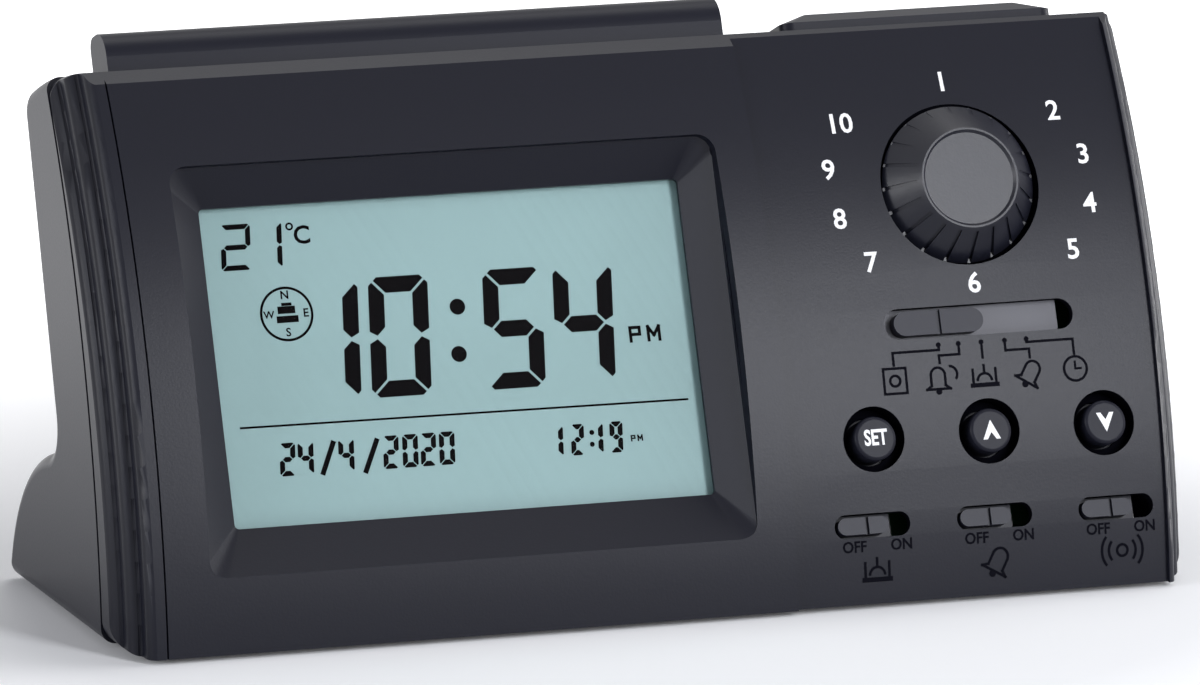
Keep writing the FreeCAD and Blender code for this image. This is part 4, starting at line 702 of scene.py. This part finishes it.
# each lamp: its place in metres, its width and height, and its colour
LAMPS = {
    "window": ((0.31, -0.76, 0.34), (0.2, 0.42), (0.93, 0.95, 1.0)),
    "top": ((0.3, 0.3, 1.25), (0.6, 0.6), (1, 1, 1)),
    "side": ((-1.1, -0.36, 0.42), (0.55, 0.55), (0.88, 0.91, 1.0)),
    "right": ((0.9, -0.12, 0.42), (0.7, 0.7), (0.94, 0.95, 1.0)),
    "left_rim": ((-1.0, -0.03, 0.24), (0.22, 0.22), (1, 1, 1)),
    "right_rim": ((1.0, 0.1, 0.15), (0.25, 0.25), (1, 1, 1)),
}
LAMP_AIM = (0.02, 0, 0.045)
# the floor is plain within the first distance from the clock, white to the eye from the second; in metres
FLOOR_PLAIN, FLOOR_WHITE = 0.1, 0.3


def area_light(name, power):
    """One lamp of the table, turned to the clock."""
    at, size, color = LAMPS[name]
    data = bpy.data.lights.new(name, "AREA")
    data.energy = power
    data.color = color
    data.shape = "RECTANGLE"
    data.size, data.size_y = size
    lamp = bpy.data.objects.new(name, data)
    bpy.context.scene.collection.objects.link(lamp)
    lamp.location = at
    lamp.rotation_euler = (Vector(LAMP_AIM) - Vector(at)).to_track_quat("-Z", "Y").to_euler()


def seen_directly(tree):
    """One for rays from the camera, mirrors and glass, nought for diffuse light."""
    kinds = ("Is Camera Ray", "Is Glossy Ray", "Is Transmission Ray")
    camera, glossy, through = [Wire.made(tree, "ShaderNodeLightPath", out=kind) for kind in kinds]
    return Wire.made(tree, "ShaderNodeMath", {0: camera + glossy, 1: through}, operation="MAXIMUM")


def floor_finish(glow):
    """A floor that is white to the eye, plain near the clock so that it takes the shadow."""
    made = material("floor", (0.93, 0.93, 0.93), 0.8)
    tree = made.node_tree
    shader = tree.nodes["Principled BSDF"]
    shader.inputs["Specular IOR Level"].default_value = 0
    shader.inputs["Emission Strength"].default_value = 1
    where = Wire.made(tree, "ShaderNodeTexCoord", out="Object")
    away = Wire.made(tree, "ShaderNodeVectorMath", {0: where}, out="Value", operation="LENGTH")
    spread = Wire.made(tree, "ShaderNodeMapRange", {"Value": away, "From Min": FLOOR_PLAIN,
                                                    "From Max": FLOOR_WHITE, "To Min": glow, "To Max": 1.0})
    level = seen_directly(tree) * spread
    color = Wire.made(tree, "ShaderNodeCombineColor", {"Red": level, "Green": level, "Blue": level})
    tree.links.new(color.socket, shader.inputs["Emission Color"])
    return made


class AZAN_OT_stage(bpy.types.Operator):
    """Set up floor, ambient light, lamps and camera"""
    bl_idname = "azan.stage"
    bl_label = "Set stage"

    def execute(self, context):
        scene = context.scene
        look = scene.azan_stage
        mesh = bmesh.new()
        bmesh.ops.create_grid(mesh, x_segments=1, y_segments=1, size=3.0)
        data = bpy.data.meshes.new("floor")
        mesh.to_mesh(data)
        mesh.free()
        floor = bpy.data.objects.new("floor", data)
        scene.collection.objects.link(floor)
        data.materials.append(floor_finish(look.floor_glow))
        world = bpy.data.worlds.new("studio")
        scene.world = world
        world.use_nodes = True
        tree = world.node_tree
        tree.nodes.clear()
        seen = seen_directly(tree)
        soft = Wire.made(tree, "ShaderNodeBackground",
                         {"Color": (0.93, 0.94, 1.0, 1), "Strength": look.world_level})
        white = Wire.made(tree, "ShaderNodeBackground", {"Color": (1, 1, 1, 1), "Strength": 1.0})
        both = Wire.made(tree, "ShaderNodeMixShader", {0: seen, 1: soft, 2: white})
        out = tree.nodes.new("ShaderNodeOutputWorld")
        tree.links.new(both.socket, out.inputs["Surface"])
        for name in LAMPS:
            area_light(name, getattr(look, name + "_power"))
        camera_data = bpy.data.cameras.new("camera")
        camera_data.lens = look.lens
        camera_data.sensor_width = 36.0
        camera_data.clip_start = 0.1
        camera_data.clip_end = 20.0
        camera = bpy.data.objects.new("camera", camera_data)
        scene.collection.objects.link(camera)
        azimuth, elevation = math.radians(look.azimuth), math.radians(look.elevation)
        back = Vector((math.sin(azimuth) * math.cos(elevation), -math.cos(azimuth) * math.cos(elevation),
                       math.sin(elevation)))
        camera.location = Vector((look.aim_x, look.aim_y, look.aim_z)) + back * look.distance
        camera.rotation_euler = (-back).to_track_quat("-Z", "Y").to_euler()
        scene.camera = camera
        scene.view_settings.view_transform = "Standard"
        return {"FINISHED"}


class AZAN_PT_panel(bpy.types.Panel):
    """Settings and steps of the clock's looks"""
    bl_label = "Azan clock"
    bl_space_type = "VIEW_3D"
    bl_region_type = "UI"
    bl_category = "Azan clock"

    def draw(self, context):
        for name in SETTINGS:
            group = getattr(context.scene, name)
            for key in group.__annotations__:
                self.layout.prop(group, key)
        for step in STEPS:
            self.layout.operator(step.bl_idname)


STEPS = (AZAN_OT_finishes, AZAN_OT_display, AZAN_OT_prints, AZAN_OT_button_marks, AZAN_OT_stage)


def register():
    for kind in (*SETTINGS.values(), *STEPS, AZAN_PT_panel):
        bpy.utils.register_class(kind)
    for name, kind in SETTINGS.items():
        setattr(bpy.types.Scene, name, bpy.props.PointerProperty(type=kind))


def unregister():
    for name in SETTINGS:
        delattr(bpy.types.Scene, name)
    for kind in (AZAN_PT_panel, *reversed(STEPS), *reversed(list(SETTINGS.values()))):
        bpy.utils.unregister_class(kind)


def main():
    register()
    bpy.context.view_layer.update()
    for step in STEPS:
        group, name = step.bl_idname.split(".")
        if getattr(getattr(bpy.ops, group), name)() != {"FINISHED"}:
            raise RuntimeError("%s failed" % step.bl_idname)


if __name__ == "__main__":
    main()
